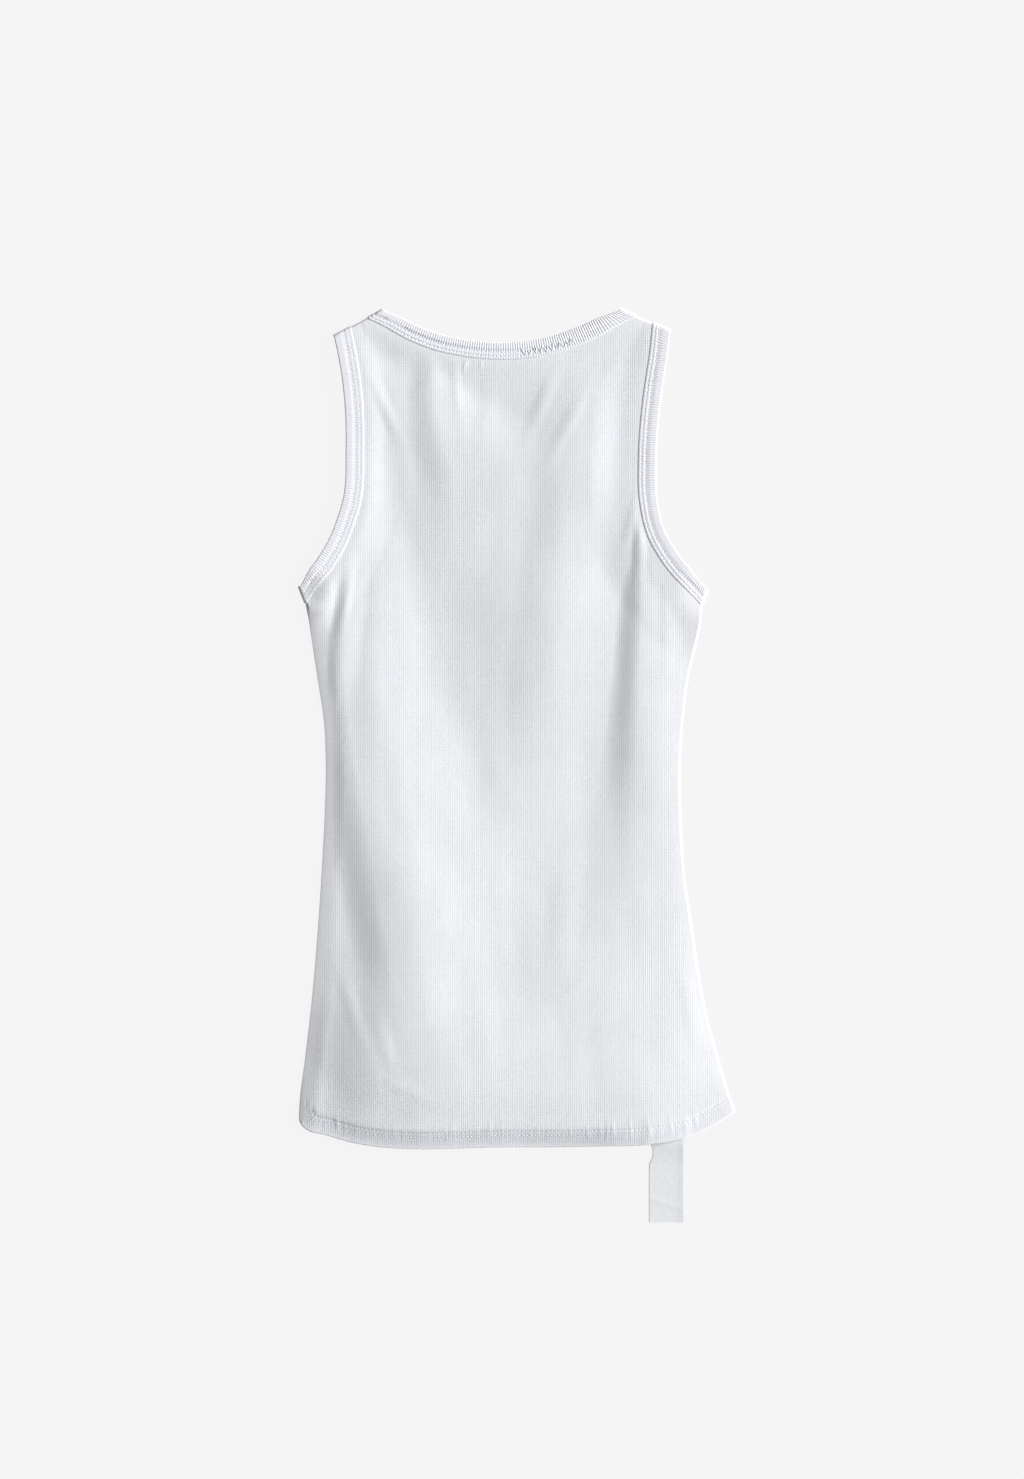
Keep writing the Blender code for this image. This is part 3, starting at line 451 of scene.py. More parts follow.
def binding(piece, cloth, rng):
    places, cuts = binding_places(piece)
    per_rib = len(RIB_PHASES)
    uneven = 1 + UNEVEN * rng.standard_normal(len(places) // per_rib).repeat(per_rib)
    pulled = strain(piece, places)
    depth = piece["rib_depth"] * uneven * (1 + STRONG_RIBS * pulled)
    rings, painted_shade = [], []
    for share, inset, height, rib, puff in binding_section(piece["needle_depth"]):
        face = math.copysign(1, height)
        outer = share == 1 and abs(height) > 1
        sunk = np.clip((BAND_HALF - abs(height)) / NEEDLE_DEPTH, 0, 1) if outer else 0
        sunk = sunk * (1 - HIDDEN_ROWS * pulled)
        if share == 1 and inset < -LIP_WIDTH:
            height = face * (BAND_HALF - sunk * NEEDLE_DEPTH)
            rib = rib + (STRONG_ROWS - rib) * pulled
        heights = height - face * depth * cuts * rib + PUFF * puff * facing_up(places)
        rings.append(lay_round(piece, places, share, inset, heights))
        # painted shade in the rib valleys and in the needle rows
        painted_shade.append(cuts * rib * depth / NEEDLE_DEPTH + SUNK_SHADE * sunk)
    rings = np.array(rings)
    rings[..., 2] = np.maximum(rings[..., 2], 0)
    return add_piece(piece["name"] + "_knit", rings.reshape(-1, 3), grid_faces(*rings.shape[:2]),
                     cloth, "binding", piece["name"], painted_shade=np.concatenate(painted_shade))


def grid_faces(rows, columns):
    """Quads of a grid that closes on itself both ways."""
    index = np.arange(rows * columns).reshape(rows, columns)
    across, up = np.roll(index, -1, axis=1), np.roll(index, -1, axis=0)
    both = np.roll(across, -1, axis=0)
    return np.stack([index, across, both, up], axis=-1).reshape(-1, 4)


# ---- thread ----
THREAD_PATH = (  # along a stitch: its share, lift in radii, and radius
    (0.0, -0.5, 0.0), (0.16, 0.15, 0.85), (0.5, 0.42, 1.0), (0.84, 0.15, 0.85), (1.0, -0.5, 0.0))
CLOSING = (4.0, 39.0, 19)  # of the neck's binding: from x to x, and how many stitches
CLOSING_TOPS = (5.9, 8.6)  # how far from the lip they reach
CLOSING_FEET = (1.5, 3.0)
CLOSING_LEANS = (0.6, 1.6)


def thread_mesh(starts, ends, normals):
    """Stitches from start to end, each a short strand that bows out of the cloth."""
    sides, (wide, high) = THREAD_SIDES, THREAD_FORM
    along = ends - starts
    ahead = unit(along)
    beside = unit(np.cross(ahead, normals))
    normals = np.cross(beside, ahead)
    rings, faces = [], []
    for share, lift, radius in THREAD_PATH:
        middle = starts + share * along + THREAD * lift * normals
        turns = np.arange(sides) * 2 * math.pi / sides if radius else [0.0]
        for turn in turns:
            offset = math.cos(turn) * beside * wide + math.sin(turn) * normals * high
            rings.append(middle + THREAD * radius * offset)
    per = len(rings)
    points = np.stack(rings, axis=1).reshape(-1, 3)
    first, second, third = (range(1 + i * sides, 1 + (i + 1) * sides) for i in range(3))
    for k in range(sides):
        j = (k + 1) % sides
        faces += [(0, first[k], first[j]), (per - 1, third[j], third[k])]
        for low, high in ((first, second), (second, third)):
            faces += [(low[k], high[k], high[j]), (low[k], high[j], low[j])]
    strands = per * np.arange(len(starts))[:, None, None]
    return points, (np.array(faces)[None] + strands).reshape(-1, 3)


def stitch_ends(run):
    """Where the stitches of a needle row start and end along it."""
    count = round(run[-1] / STITCH_STEP)
    starts = np.arange(count) / count * run[-1]
    return starts, starts + STITCH_SHARE * STITCH_STEP


def row_stitches(piece, row, side):
    """Starts, ends and normals of one needle row right round a binding, on one of its faces."""
    def laid(places, out=0.0):
        sink = STITCH_SINK + HIDDEN_DEPTH * strain(piece, places)
        return lay_round(piece, places, 1, -row, side * (BAND_HALF - sink + out))

    dense = np.linspace(0, 4, ROUND_POINTS)
    run = run_length(laid(dense))
    starts, ends = stitch_ends(run)
    first, last, middle = (np.interp(at % run[-1], run, dense)
                           for at in (starts, ends, (starts + ends) / 2))
    return laid(first), laid(last), unit(laid(middle, WALL) - laid(middle))


def overlap_stitches(piece, rng):
    """Where the neck's binding closes: a patch of stitches sewn back and forth."""
    start, end, count = CLOSING
    shares = np.linspace(0, 1, EDGE_POINTS)
    edge, _ = strip(piece, "back", shares)
    xs = np.linspace(start, end, count) + rng.uniform(-0.5, 0.5, count)
    places = np.interp(xs, edge[:, 0], shares)
    lean = np.where(np.arange(count) % 2, 1, -1) * rng.uniform(*CLOSING_LEANS, count)
    shift = lean / half_length(piece, "back")
    tops, feet = (rng.uniform(*reach, count) for reach in (CLOSING_TOPS, CLOSING_FEET))
    first, last = (lay_round(piece, places + way * shift, 1, -depth, BAND_HALF + 0.02)
                   for way, depth in ((-1, feet), (1, tops)))
    return first, last, np.tile([0.0, 0.0, 1.0], (count, 1))


def binding_stitches(piece, thread, rng):
    parts = [row_stitches(piece, row, side) for row in BINDING_ROWS for side in (1, -1)]
    if piece["name"] == "neck_binding":
        parts.append(overlap_stitches(piece, rng))
    return add_stitches(piece["name"] + "_stitches", parts, thread, "binding", 0.02)


def add_stitches(name, parts, thread, slot, lowest):
    points, faces = thread_mesh(*(np.concatenate(part) for part in zip(*parts)))
    points[:, 2] = np.maximum(points[:, 2], lowest)
    return add_piece(name, points, faces, thread, slot)


# ---- plan of a panel ----
def side_line(points, roll, foot):
    """Stations up a side, moved in from the seam, starting some way up from the hem."""
    line = smooth(points)
    shares = np.linspace(foot / run_length(line)[-1], 1, SIDE_STATIONS)
    out = square_to(unit(np.gradient(line, axis=0)))
    out = facing(out, out[0], line[0] - CENTRE)
    return at_shares(line, shares) - roll * at_shares(out, shares)


def hem_curve(count=CURVE_POINTS):
    return smooth([RIGHT_SIDE[0], *HEM_EDGE[::-1], LEFT_SIDE[0]], count)


def hem_line(inset, roll):
    """Stations along the hem from right to left, between the corners, moved up from its edge."""
    line = hem_curve()
    clear = (CORNER_CLEAR + roll) / run_length(line)[-1]
    shares = np.linspace(clear, 1 - clear, HEM_STATIONS)
    up = -square_to(unit(np.gradient(line, axis=0)))
    return at_shares(line, shares) + inset * at_shares(up, shares)


def hem_tops(roll):
    """The two lines where a panel's turned-up edge ends on its inside."""
    return [[(x, y, 0) for x, y in hem_line(depth, roll)]
            for depth in (HEM_DEPTH, HEM_DEPTH + HEM_STEP)]


def raw_line(piece, half, inset, roll):
    """Stations along a raw edge inside its binding, or this far inside the binding's lip, with
    the corners where its folds begin."""
    stations = np.linspace(0, 1, 1 + round(half_length(piece, half) / STATION_STEP))
    edge, across = strip(piece, half, stations)
    depth = LAYER if inset is None else np.linalg.norm(across, axis=1)[:, None] + inset
    line = edge + depth * unit(across)
    reach = max(PANEL_RADIUS - roll, 0)
    if not reach:
        return line
    first, last = (np.outer(FOLD_STEPS, fold_axis(fold)["out"] * reach) for fold in piece["folds"])
    return np.array([*(line[0] + first), *line, *(line[-1] + last[::-1])])


def turn_lines(roll):
    """Lines along the folds, from the raw edge to the lip, that carry a panel's turn there."""
    return [[(*on_fold(fold, depth, step * (PANEL_RADIUS - roll)), 0)
             for depth in (LAYER, fold_width(fold))]
            for piece in BINDINGS for fold in piece["folds"] for step in (*FOLD_STEPS[1:], 0)]


def outline(half, inset, roll, hem):
    """A panel's outline, or one that is this far inside it at the sides and the hem, and this far
    inside the lips of the bindings. Without an inset it runs along the raw edges."""
    neck, left, right = (raw_line(piece, half, inset, roll) for piece in BINDINGS)
    under_binding = inset is None or inset < 0
    corners = [[on_fold(fold, fold_width(fold), PANEL_RADIUS - roll)] * under_binding
               for fold in ("underarm, left", "underarm, right")]
    return np.array([
        *side_line(LEFT_SIDE, roll, hem), *corners[0], *left[::-1], *neck,
        *right, *corners[1], *side_line(RIGHT_SIDE, roll, hem)[::-1], *hem_line(hem, roll)])


def rows_between(low, high, slope):
    """Heights of the points of a rib between its two ends."""
    hem_corner, underarm = LEFT_SIDE[1][1], LEFT_SIDE[-1][1]
    if low < hem_corner:
        foot = low + np.array(FOOT_STEPS) * slope
    else:
        foot = low + np.array(SIDE_STEPS if low < underarm else HEAD_STEPS)
    head = high - np.array(SIDE_STEPS if high < underarm else HEAD_STEPS)
    if foot[-1] + 1 > head[-1]:
        return np.linspace(low, high, max(2, int((high - low) / SHORT_STEP)))
    first = math.ceil((foot[-1] + ROW_CLEAR) / ROW_STEP)
    last = math.floor((head[-1] - ROW_CLEAR) / ROW_STEP)
    return np.concatenate([foot, ROW_STEP * np.arange(first, last + 1), head[::-1]])


def ribs(half, field, rng):
    """Columns of points up a panel, four to a rib: x, y and the rib's height there."""
    loop = outline(half, *field)
    hem = hem_curve(SLOPE_POINTS)[::-1]
    slopes = np.hypot(1, np.gradient(hem[:, 1], hem[:, 0]))
    start, end = loop[:, 0].min(), loop[:, 0].max()
    columns = []
    for rib in range(int((end - start) / RIB_PITCH)):
        strength = 1 + UNEVEN * rng.standard_normal()
        for phase, height in RIB_PHASES:
            x = start + (rib + phase + 0.3) * RIB_PITCH
            slope = np.interp(x, hem[:, 0], slopes)
            columns += [[(x, y, height * strength) for y in rows_between(low, high, slope)]
                        for low, high in spans(loop, x)]
    return columns


def plain_columns(half, field):
    loop = outline(half, *field)
    return [[(x, y, 0) for y in np.linspace(low, high, 2 + int((high - low) / INNER_STEP))]
            for x in np.arange(loop[:, 0].min() + INNER_PITCH, loop[:, 0].max(), INNER_PITCH)
            for low, high in spans(loop, x)]


# ---- how the cloth lies ----
def left_to_right(plan, ends):
    return np.interp(plan[:, 0], FADE_ACROSS, ends)


def band_distance(plan, half):
    """From each point to the nearest lip of a binding, and how near it is to any of them: 1
    close beside them and 0 out in the body."""
    nearest, clear = np.full(len(plan), np.inf), np.ones(len(plan))
    margin, reach = FRONT_MARGIN, FRONT_REACH
    if half == "back":
        margin, reach = left_to_right(plan, BAND_MARGINS), left_to_right(plan, BAND_REACHES)
    for piece in BINDINGS:
        edge, _ = strip(piece, half, np.linspace(0, 1, FIELD_POINTS))
        beyond = distance(plan, edge) - piece["width"]
        nearest = np.minimum(nearest, beyond)
        clear *= 1 - falloff((beyond - margin) / reach)
    return nearest, 1 - clear


def side_distance(plan):
    lines = []
    for name, side in (("left", LEFT_SIDE), ("right", RIGHT_SIDE)):
        underarm = [on_fold(f"underarm, {name}", depth, PANEL_RADIUS)
                    for depth in (FOLD_WIDTHS["underarm"], 0)]
        shoulder = [on_fold(f"{end}, {name}", 0, PANEL_RADIUS) for end in ("neck", "shoulder")]
        lines += [np.array([*smooth(side, FIELD_POINTS), *underarm]), np.array(shoulder)]
    return np.min([distance(plan, line) for line in lines], axis=0)


def relief(plan):
    """Height of the back's creases: soft ridges, each with a steeper and a gentler flank."""
    x, y = plan.T
    total = np.zeros(len(plan))
    for crest in CREASES.values():
        crest = smooth(crest)[::-1].T
        across, height, left, right = (np.interp(y, crest[1], crest[i]) for i in (0, 2, 3, 4))
        offset = x - across
        total += height * falloff(np.abs(offset) / np.where(offset < 0, left, right))
    return total


def fields(plan):
    """What the heights of the back are worked out from, at each point of its plan."""
    near_band, bands = band_distance(plan, "back")
    hem = distance(plan, hem_curve(HEM_POINTS))
    roll = np.where(plan[:, 0] < CENTRE[0], *ROLLS)
    narrow = falloff((plan[:, 1] - ROLL_TOP) / ROLL_NARROWS)
    front_edge, _ = strip(BINDINGS[0], "front", np.linspace(0, 1, FIELD_POINTS))
    beyond = distance(plan, front_edge) - NECK_WIDTH - NECK_MARGIN
    return {"near_band": near_band, "bands": bands, "sides": side_distance(plan), "hem": hem,
            "neck": np.where(inside(plan, front_edge), 1, falloff(beyond / NECK_REACH)),
            "loose": 1 - falloff((near_band - 2) / left_to_right(plan, LOOSE_REACHES)),
            "roll": PANEL_RADIUS + (roll - PANEL_RADIUS) * narrow,
            "hem_lift": falloff((hem - HEM_DEPTH - 2) / HEM_REACH),
            "lips": falloff((near_band - 0.5) / LIP_REACH)}


def back_ground(plan, at):
    """Height of the back's outer face where it isn't rolling over."""
    sides = SIDE_SHARE * falloff((at["sides"] - SIDE_SHELF) / SIDE_REACH)
    extra = 1 - (1 - sides) * (1 - at["hem_lift"]) * (1 - at["neck"])
    clear = (1 - at["bands"]) * (1 - extra * EXTRA_LIFT / BAND_LIFT)
    creases = relief(plan) * at["loose"] * (1 - HEM_HOLD * at["hem_lift"])
    left_of_label = falloff((plan[:, 0] - HEM_FALL_END[0]) / HEM_FALL_END[1])
    creases *= 1 - HEM_FALL * falloff(at["hem"] / HEM_FALL_REACH) * left_of_label
    swell = LIP_SWELL * at["bands"] * falloff((at["near_band"] - 0.4) / SWELL_REACH)
    return BODY_TOP + BAND_LIFT * (1 - clear) + creases + swell


def label_lift(plan, margin, reach):
    x, y = plan.T
    past = np.maximum(LABEL_SPAN[0] - x, x - LABEL_SPAN[1]) - margin
    return LABEL_LIFT * falloff(past / reach) * falloff((y - LABEL_TOP - margin) / reach)


def roll_over(at, near, seam, ground, inset):
    """Heights that run from the seam at a rolled edge out to the ground, a quarter turn."""
    reach = near + (PANEL_RADIUS - near) * at["lips"] - inset
    share = np.clip((at["sides"] - inset) / reach, 0, 1)
    turned = np.sqrt(1 - (1 - share) ** 2)
    turned += ROLL_EASE * (1 - at["lips"]) * (np.sin(math.pi / 2 * share) - turned)
    return seam + (ground - seam) * turned


def seam_height(at):
    """Height at which the front and back meet at the sides and shoulders."""
    above_hem = falloff((at["hem"] - HEM_DEPTH) / SEAM_REACH)
    low = (BODY_TOP + EXTRA_LIFT * (SIDE_SHARE + (1 - SIDE_SHARE) * above_hem)) / 2
    return low + (FOLD_RADIUS - low) * at["bands"]


def ridge(plan, start, end, height, reach):
    """A short soft pucker that dies out at both ends."""
    start, end = np.array(start, float), np.array(end, float)
    near = np.all((plan > np.minimum(start, end) - 3 * reach)
                  & (plan < np.maximum(start, end) + 3 * reach), axis=1)
    total, step = np.zeros(len(plan)), end - start
    offset = plan[near] - start
    t = offset @ step / (step @ step)
    across = np.abs(offset @ square_to(unit(step)))
    total[near] = height * falloff(across / reach) * falloff(np.abs(t - 0.5) / 0.75)
    return total


def fine_relief(plan, at, rng):
    """Puckers, ripples and the hem's needle rows, on the outer face alone."""
    total = sum(ridge(plan, *pucker) for pucker in PUCKERS) * np.clip(at["near_band"] / 5, 0, 1)
    hem = hem_curve(HEM_POINTS)[::-1]
    for x in np.sort(rng.uniform(*SMALL_SPAN, SMALL_PUCKERS)):
        y = np.interp(x, hem[:, 0], hem[:, 1])
        share = 0.4 if GATHERED_SPAN[0] < x < GATHERED_SPAN[1] else 0.3
        foot, top = (x, y + rng.uniform(2, 7)), (x + rng.uniform(-2, 2), y + rng.uniform(13, 22))
        total += ridge(plan, foot, top, share * rng.uniform(0.08, 0.26), rng.uniform(1.4, 2.6))
    x, y = plan.T
    waves = np.zeros(len(plan))
    for _ in range(RIPPLES):
        across, up, start = rng.uniform(0.08, 0.3), rng.uniform(-0.06, 0.06), rng.uniform(0, 6.3)
        waves += RIPPLE * np.sin(across * x + up * y + start)
    total += waves * np.clip(at["near_band"] / 6, 0, 1) * np.clip(at["sides"] / 12, 0, 1)
    for row, depth in zip(HEM_ROWS, HEM_GROOVES):
        total -= depth * hump((at["hem"] - row) / 0.55)
    puffed = HEM_PUFF * hump((at["hem"] - HEM_ROWS[1] - 2.2) / 1.6)
    return total + puffed + label_lift(plan, LABEL_MARGIN, LABEL_REACH)


def hem_rounding(at):
    return HEM_ROUND * (1 - np.sqrt(1 - (1 - np.clip(at["hem"] / HEM_ROUND, 0, 1)) ** 2))


def doubled(at):
    """Thickness of a panel, twofold where its edge is turned up."""
    return np.where(at["hem"] < HEM_DEPTH + HEM_STEP / 2, WALL + LAYER, WALL)


ROW_SHADES = (0.4, 0.8)  # painted shade: how dark the hem's two needle rows are
GATHERED = (66, 18)  # x in the middle of the painted shade of its gathered cloth, and how far that reaches
# painted shade over all of the back's inside face
INSIDE_SHADE = 0.15
HEM_SHADE = ((-165, -60, 64, 94), (0.8, 1, 1, 0.2))  # x, and how dark all of the hem's painted shade is there


def row_shade(plan, at):
    """Painted shade in the crevices of the hem's needle rows, and in the gathered cloth between
    them.
    """
    rows = sum(shade * hump((at["hem"] - row) / 0.5) for row, shade in zip(HEM_ROWS, ROW_SHADES))
    between = 0.1 * falloff((at["hem"] - 11.0) / 4)
    gathered = 0.25 * hump((plan[:, 0] - GATHERED[0]) / GATHERED[1])
    gathered *= falloff(np.abs(at["hem"] - 8) / 7)
    return (rows + between + gathered) * np.interp(plan[:, 0], *HEM_SHADE)


def rib_shade(at):
    """Painted shade in the grooves between the ribs: darkest in the turned-up hem."""
    return 0.32 + 0.46 * falloff((at["hem"] - 9) / 4)


def rib_fade(plan, at):
    """How far the ribs stand out: flattened at the bands, the rolled sides and the hem."""
    x, y = plan.T
    slow = 1 + 0.18 * np.sin(x / 23 + y / 61) * np.sin(y / 37 - x / 90 + 1)
    held = 1 - 0.35 * hump((at["hem"] - 10.5) / 3)
    edge = np.clip((at["near_band"] - 0.6) / 1.0, 0, 1) * np.clip((at["sides"] - 4.5) / 4, 0, 1)
    return slow * held * edge * np.clip((at["hem"] - FIELD_INSET - 0.1) / 1.2, 0, 1)


# ---- panels ----
def triangulate(half, steps, columns):
    """A panel's plan as triangles that keep each column and the outline at each step inwards.
    Gives the plan, the ribs' heights, the triangles and the outermost outline's vertices."""
    points, edges = [], []
    rings = [outline(half, *step) for step in steps]
    for ring in rings:
        first = len(points)
        points.extend((x, y, 0) for x, y in ring)
        edges.extend((i, i + 1) for i in range(first, len(points) - 1))
        edges.append((len(points) - 1, first))
    for column in columns:
        first = len(points)
        points.extend(column)
        edges.extend((i, i + 1) for i in range(first, len(points) - 1))
    flat = [Vector(point[:2]) for point in points]
    plan, _, faces, origins, _, _ = delaunay_2d_cdt(flat, edges, [], 1, MERGE)
    crest = np.array([max((points[i][2] for i in origin), default=0) for origin in origins])
    found = {i: vertex for vertex, origin in enumerate(origins) for i in origin}
    rim = [found[i] for i in range(len(rings[0]))]
    return np.array([tuple(point) for point in plan]), crest, np.array(faces), np.array(rim)


def join_faces(outer, outer_rim, outer_faces, inner, inner_rim, inner_faces):
    """One closed shell from two faces with rims of the same length."""
    shift = len(outer)
    a, b = outer_rim, np.roll(outer_rim, -1)
    c, d = inner_rim + shift, np.roll(inner_rim, -1) + shift
    sides = np.concatenate([np.stack([a, b, d], 1), np.stack([a, d, c], 1)])
    return np.concatenate([outer, inner]), np.concatenate([outer_faces, inner_faces + shift, sides])


def back_panel(cloth, rng):
    """The back: ribs and creases on its outer face, and a plain inside."""
    steps = ((None, 0, 0), (-1.5, 0.2, 0.1), (-0.4, 0.6, 0.25), (0.1, 1.2, 0.45), (0.3, 2.0, 0.6),
             (0.5, 3.0, FIELD_INSET))
    lines = ribs("back", steps[-1], rng) + turn_lines(0)
    plan, crest, faces, rim = triangulate("back", steps, lines)
    at = fields(plan)
    ground = back_ground(plan, at) + fine_relief(plan, at, rng) - hem_rounding(at)
    height = roll_over(at, at["roll"], seam_height(at) + GAP / 2, ground, 0)
    fade = rib_fade(plan, at)
    height += RIB_HEIGHT * (crest - 0.5) * fade
    # painted shade in the rib valleys and along the hem's needle rows
    painted_shade = np.clip(1 - crest, 0, 1) * np.clip(fade, 0, 1) * rib_shade(at) + row_shade(plan, at)
    # painted shade on the right edge, where it faces the light
    painted_shade += EDGE_SHADE * falloff((at["sides"] - 0.6) / 1.0) * (plan[:, 0] > CENTRE[0])
    outer = np.column_stack([plan, height])

    steps = ((None, WALL, 0), (1.0, WALL + 1.5, 1.0), (3.0, WALL + 5.0, HEM_DEPTH + 3))
    lines = plain_columns("back", steps[-1]) + turn_lines(WALL) + hem_tops(WALL + 1)
    plan, _, inner_faces, inner_rim = triangulate("back", steps, lines)
    at = fields(plan)
    ground = back_ground(plan, at) + label_lift(plan, 1.5, 5.0) - doubled(at) + hem_rounding(at)
    height = roll_over(at, at["roll"], seam_height(at) + GAP / 2, ground, WALL)
    inner = np.column_stack([plan, height])
    points, triangles = join_faces(outer, rim, faces, inner, inner_rim, inner_faces)
    painted_shade = np.concatenate([painted_shade, np.full(len(inner), INSIDE_SHADE)])
    return add_piece("back_panel_knit", points, triangles, cloth, "rib_knit", "back_panel",
                     painted_shade=painted_shade)


def front_panel(cloth):
    """The front: its underside lies flat, its neck is cut lower and its edges roll up."""
    halves = []
    for roll, lift in ((WALL, 1), (0.0, 0)):
        steps = ((None, roll, 0), (-1.0, roll + 0.3, 0.2), (1.0, roll + 0.8, 0.8),
                 (5.0, roll + 1.6, 1.6), (12.0, roll + FRONT_ROLL, HEM_DEPTH + 3))
        lines = turn_lines(roll) + plain_columns("front", steps[-1]) + hem_tops(roll + 1) * lift
        plan, _, triangles, rim = triangulate("front", steps, lines)
        at = fields(plan)
        _, near = band_distance(plan, "front")
        ground = LAYER * near + (doubled(at) - hem_rounding(at) if lift else hem_rounding(at))
        height = roll_over(at, FRONT_ROLL, seam_height(at) - GAP / 2, ground, roll)
        halves += [np.column_stack([plan, height]), rim, triangles]
    points, triangles = join_faces(*halves)
    return add_piece("front_panel_knit", points, triangles, cloth, "rib_knit", "front_panel")


def hem_stitches(thread):
    """The two needle rows of the hem, on the back and on the front's underside."""
    parts = []
    for row in HEM_ROWS:
        line = hem_line(row, 4.0)
        run = run_length(line)
        low, high = [], []
        for places in stitch_ends(run):
            plan = np.stack([np.interp(places, run, axis) for axis in line.T], 1)
            at = fields(plan)
            back = back_ground(plan, at) + fine_relief(plan, at, np.random.default_rng(SEED + 1))
            high.append(np.column_stack([plan, back - HEM_SINK]))
            low.append(np.column_stack([plan, np.full(len(plan), HEM_SINK)]))
        for ends, way in ((high, 1.0), (low, -1.0)):
            parts.append((*ends, np.tile([0.0, 0.0, way], (len(plan), 1))))
    return add_stitches("hem_stitches", parts, thread, "rib_knit", 0.0)


# ---- care label ----
LABEL_ROWS = (  # y, underside of the lower leaf, drawn-in left edge and lift of the upper
    (-268.0, BODY_TOP + GAP, 0.2, 0.0), (-283.0, BODY_TOP + GAP, 0.3, 0.0),
    (-285.5, 1.62, 2.3, 0.03), (-289.0, 1.1, 3.0, 0.05), (-293.0, 0.62, 2.9, 0.06),
    (-295.6, 0.36, 2.0, 0.06), (-298.4, 0.15, 0.5, 0.05), (-303.0, 0.02, 0.2, 0.02),
    (-318.0, 0.0, 0.2, 0.02), (-319.0, 0.0, 0.2, 0.12), (-320.2, 0.0, 0.2, 0.02),
    (-330.0, 0.0, 0.2, 0.03), (-342.7, 0.0, 0.3, 0.08))
LABEL_GRID = (110, 27)  # stations down it and across
LEAF_GAP = 0.03
LEAF_SHIFT = 0.35  # of the upper leaf to the right


def care_label(tape):
    """Two leaves of woven tape; the upper one's edge lifts and curls below the hem."""
    rows = np.array(LABEL_ROWS)[::-1].T
    left, right = LABEL_SPAN
    down = np.linspace(rows[0, -1], rows[0, 0], LABEL_GRID[0])
    soft = np.array([1, 2, 3, 2, 1]) / 9
    low, drawn, lift = (
        np.convolve(np.pad(np.interp(down, rows[0], row), 2, "edge"), soft, "valid")[:, None]
        for row in rows[1:])
    y, across = down[:, None], np.linspace(0, 1, LABEL_GRID[1])
    points, faces = [], []
    for leaf in (0, 1):
        edge = left + drawn + LEAF_SHIFT * leaf
        x = edge + (right - edge) * across
        bends = (0.1 * hump((y + 329 + 9 * (across - 0.5)) / 2.4)
                 + 0.14 * hump((y + 302 - 5 * across) / 1.6) * hump(across / 0.4)
                 + 0.35 * hump((y + 343) / 4) * (across - 0.3) ** 2
                 + 0.12 * hump((1 - across) / 0.12))
        base = low + leaf * (LEAF + LEAF_GAP + lift * (1 - across) ** 2 + bends)
        for layer in (0, LEAF):
            points.append(np.stack(np.broadcast_arrays(x, y, base + layer), -1).reshape(-1, 3))
    grid = np.arange(math.prod(LABEL_GRID)).reshape(LABEL_GRID)
    quads = np.stack([grid[:-1, :-1], grid[:-1, 1:], grid[1:, 1:], grid[1:, :-1]], -1)
    quads = quads.reshape(-1, 4)
    rim = np.concatenate([grid[0, :-1], grid[:-1, -1], grid[-1, :0:-1], grid[:0:-1, 0]])
    beside = np.roll(rim, -1)
    for below in (0, 2 * grid.size):
        above = below + grid.size
        sides = np.stack([rim + below, beside + below, beside + above, rim + above], 1)
        faces += [quads + below, quads + above, sides]
    return add_piece("care_label_leaves", np.concatenate(points), np.concatenate(faces), tape,
                     "label", "care_label")


# ---- materials ----
RAMP = (0.3, 0.7)  # factors at which a material's colour is darkest and lightest
# colour that the painted shade darkens towards
PAINTED_SHADE_TINT = (0.70, 0.72, 0.77, 1)
KNIT_TONES = (0.90, 1.065)  # shares of a knit's colour


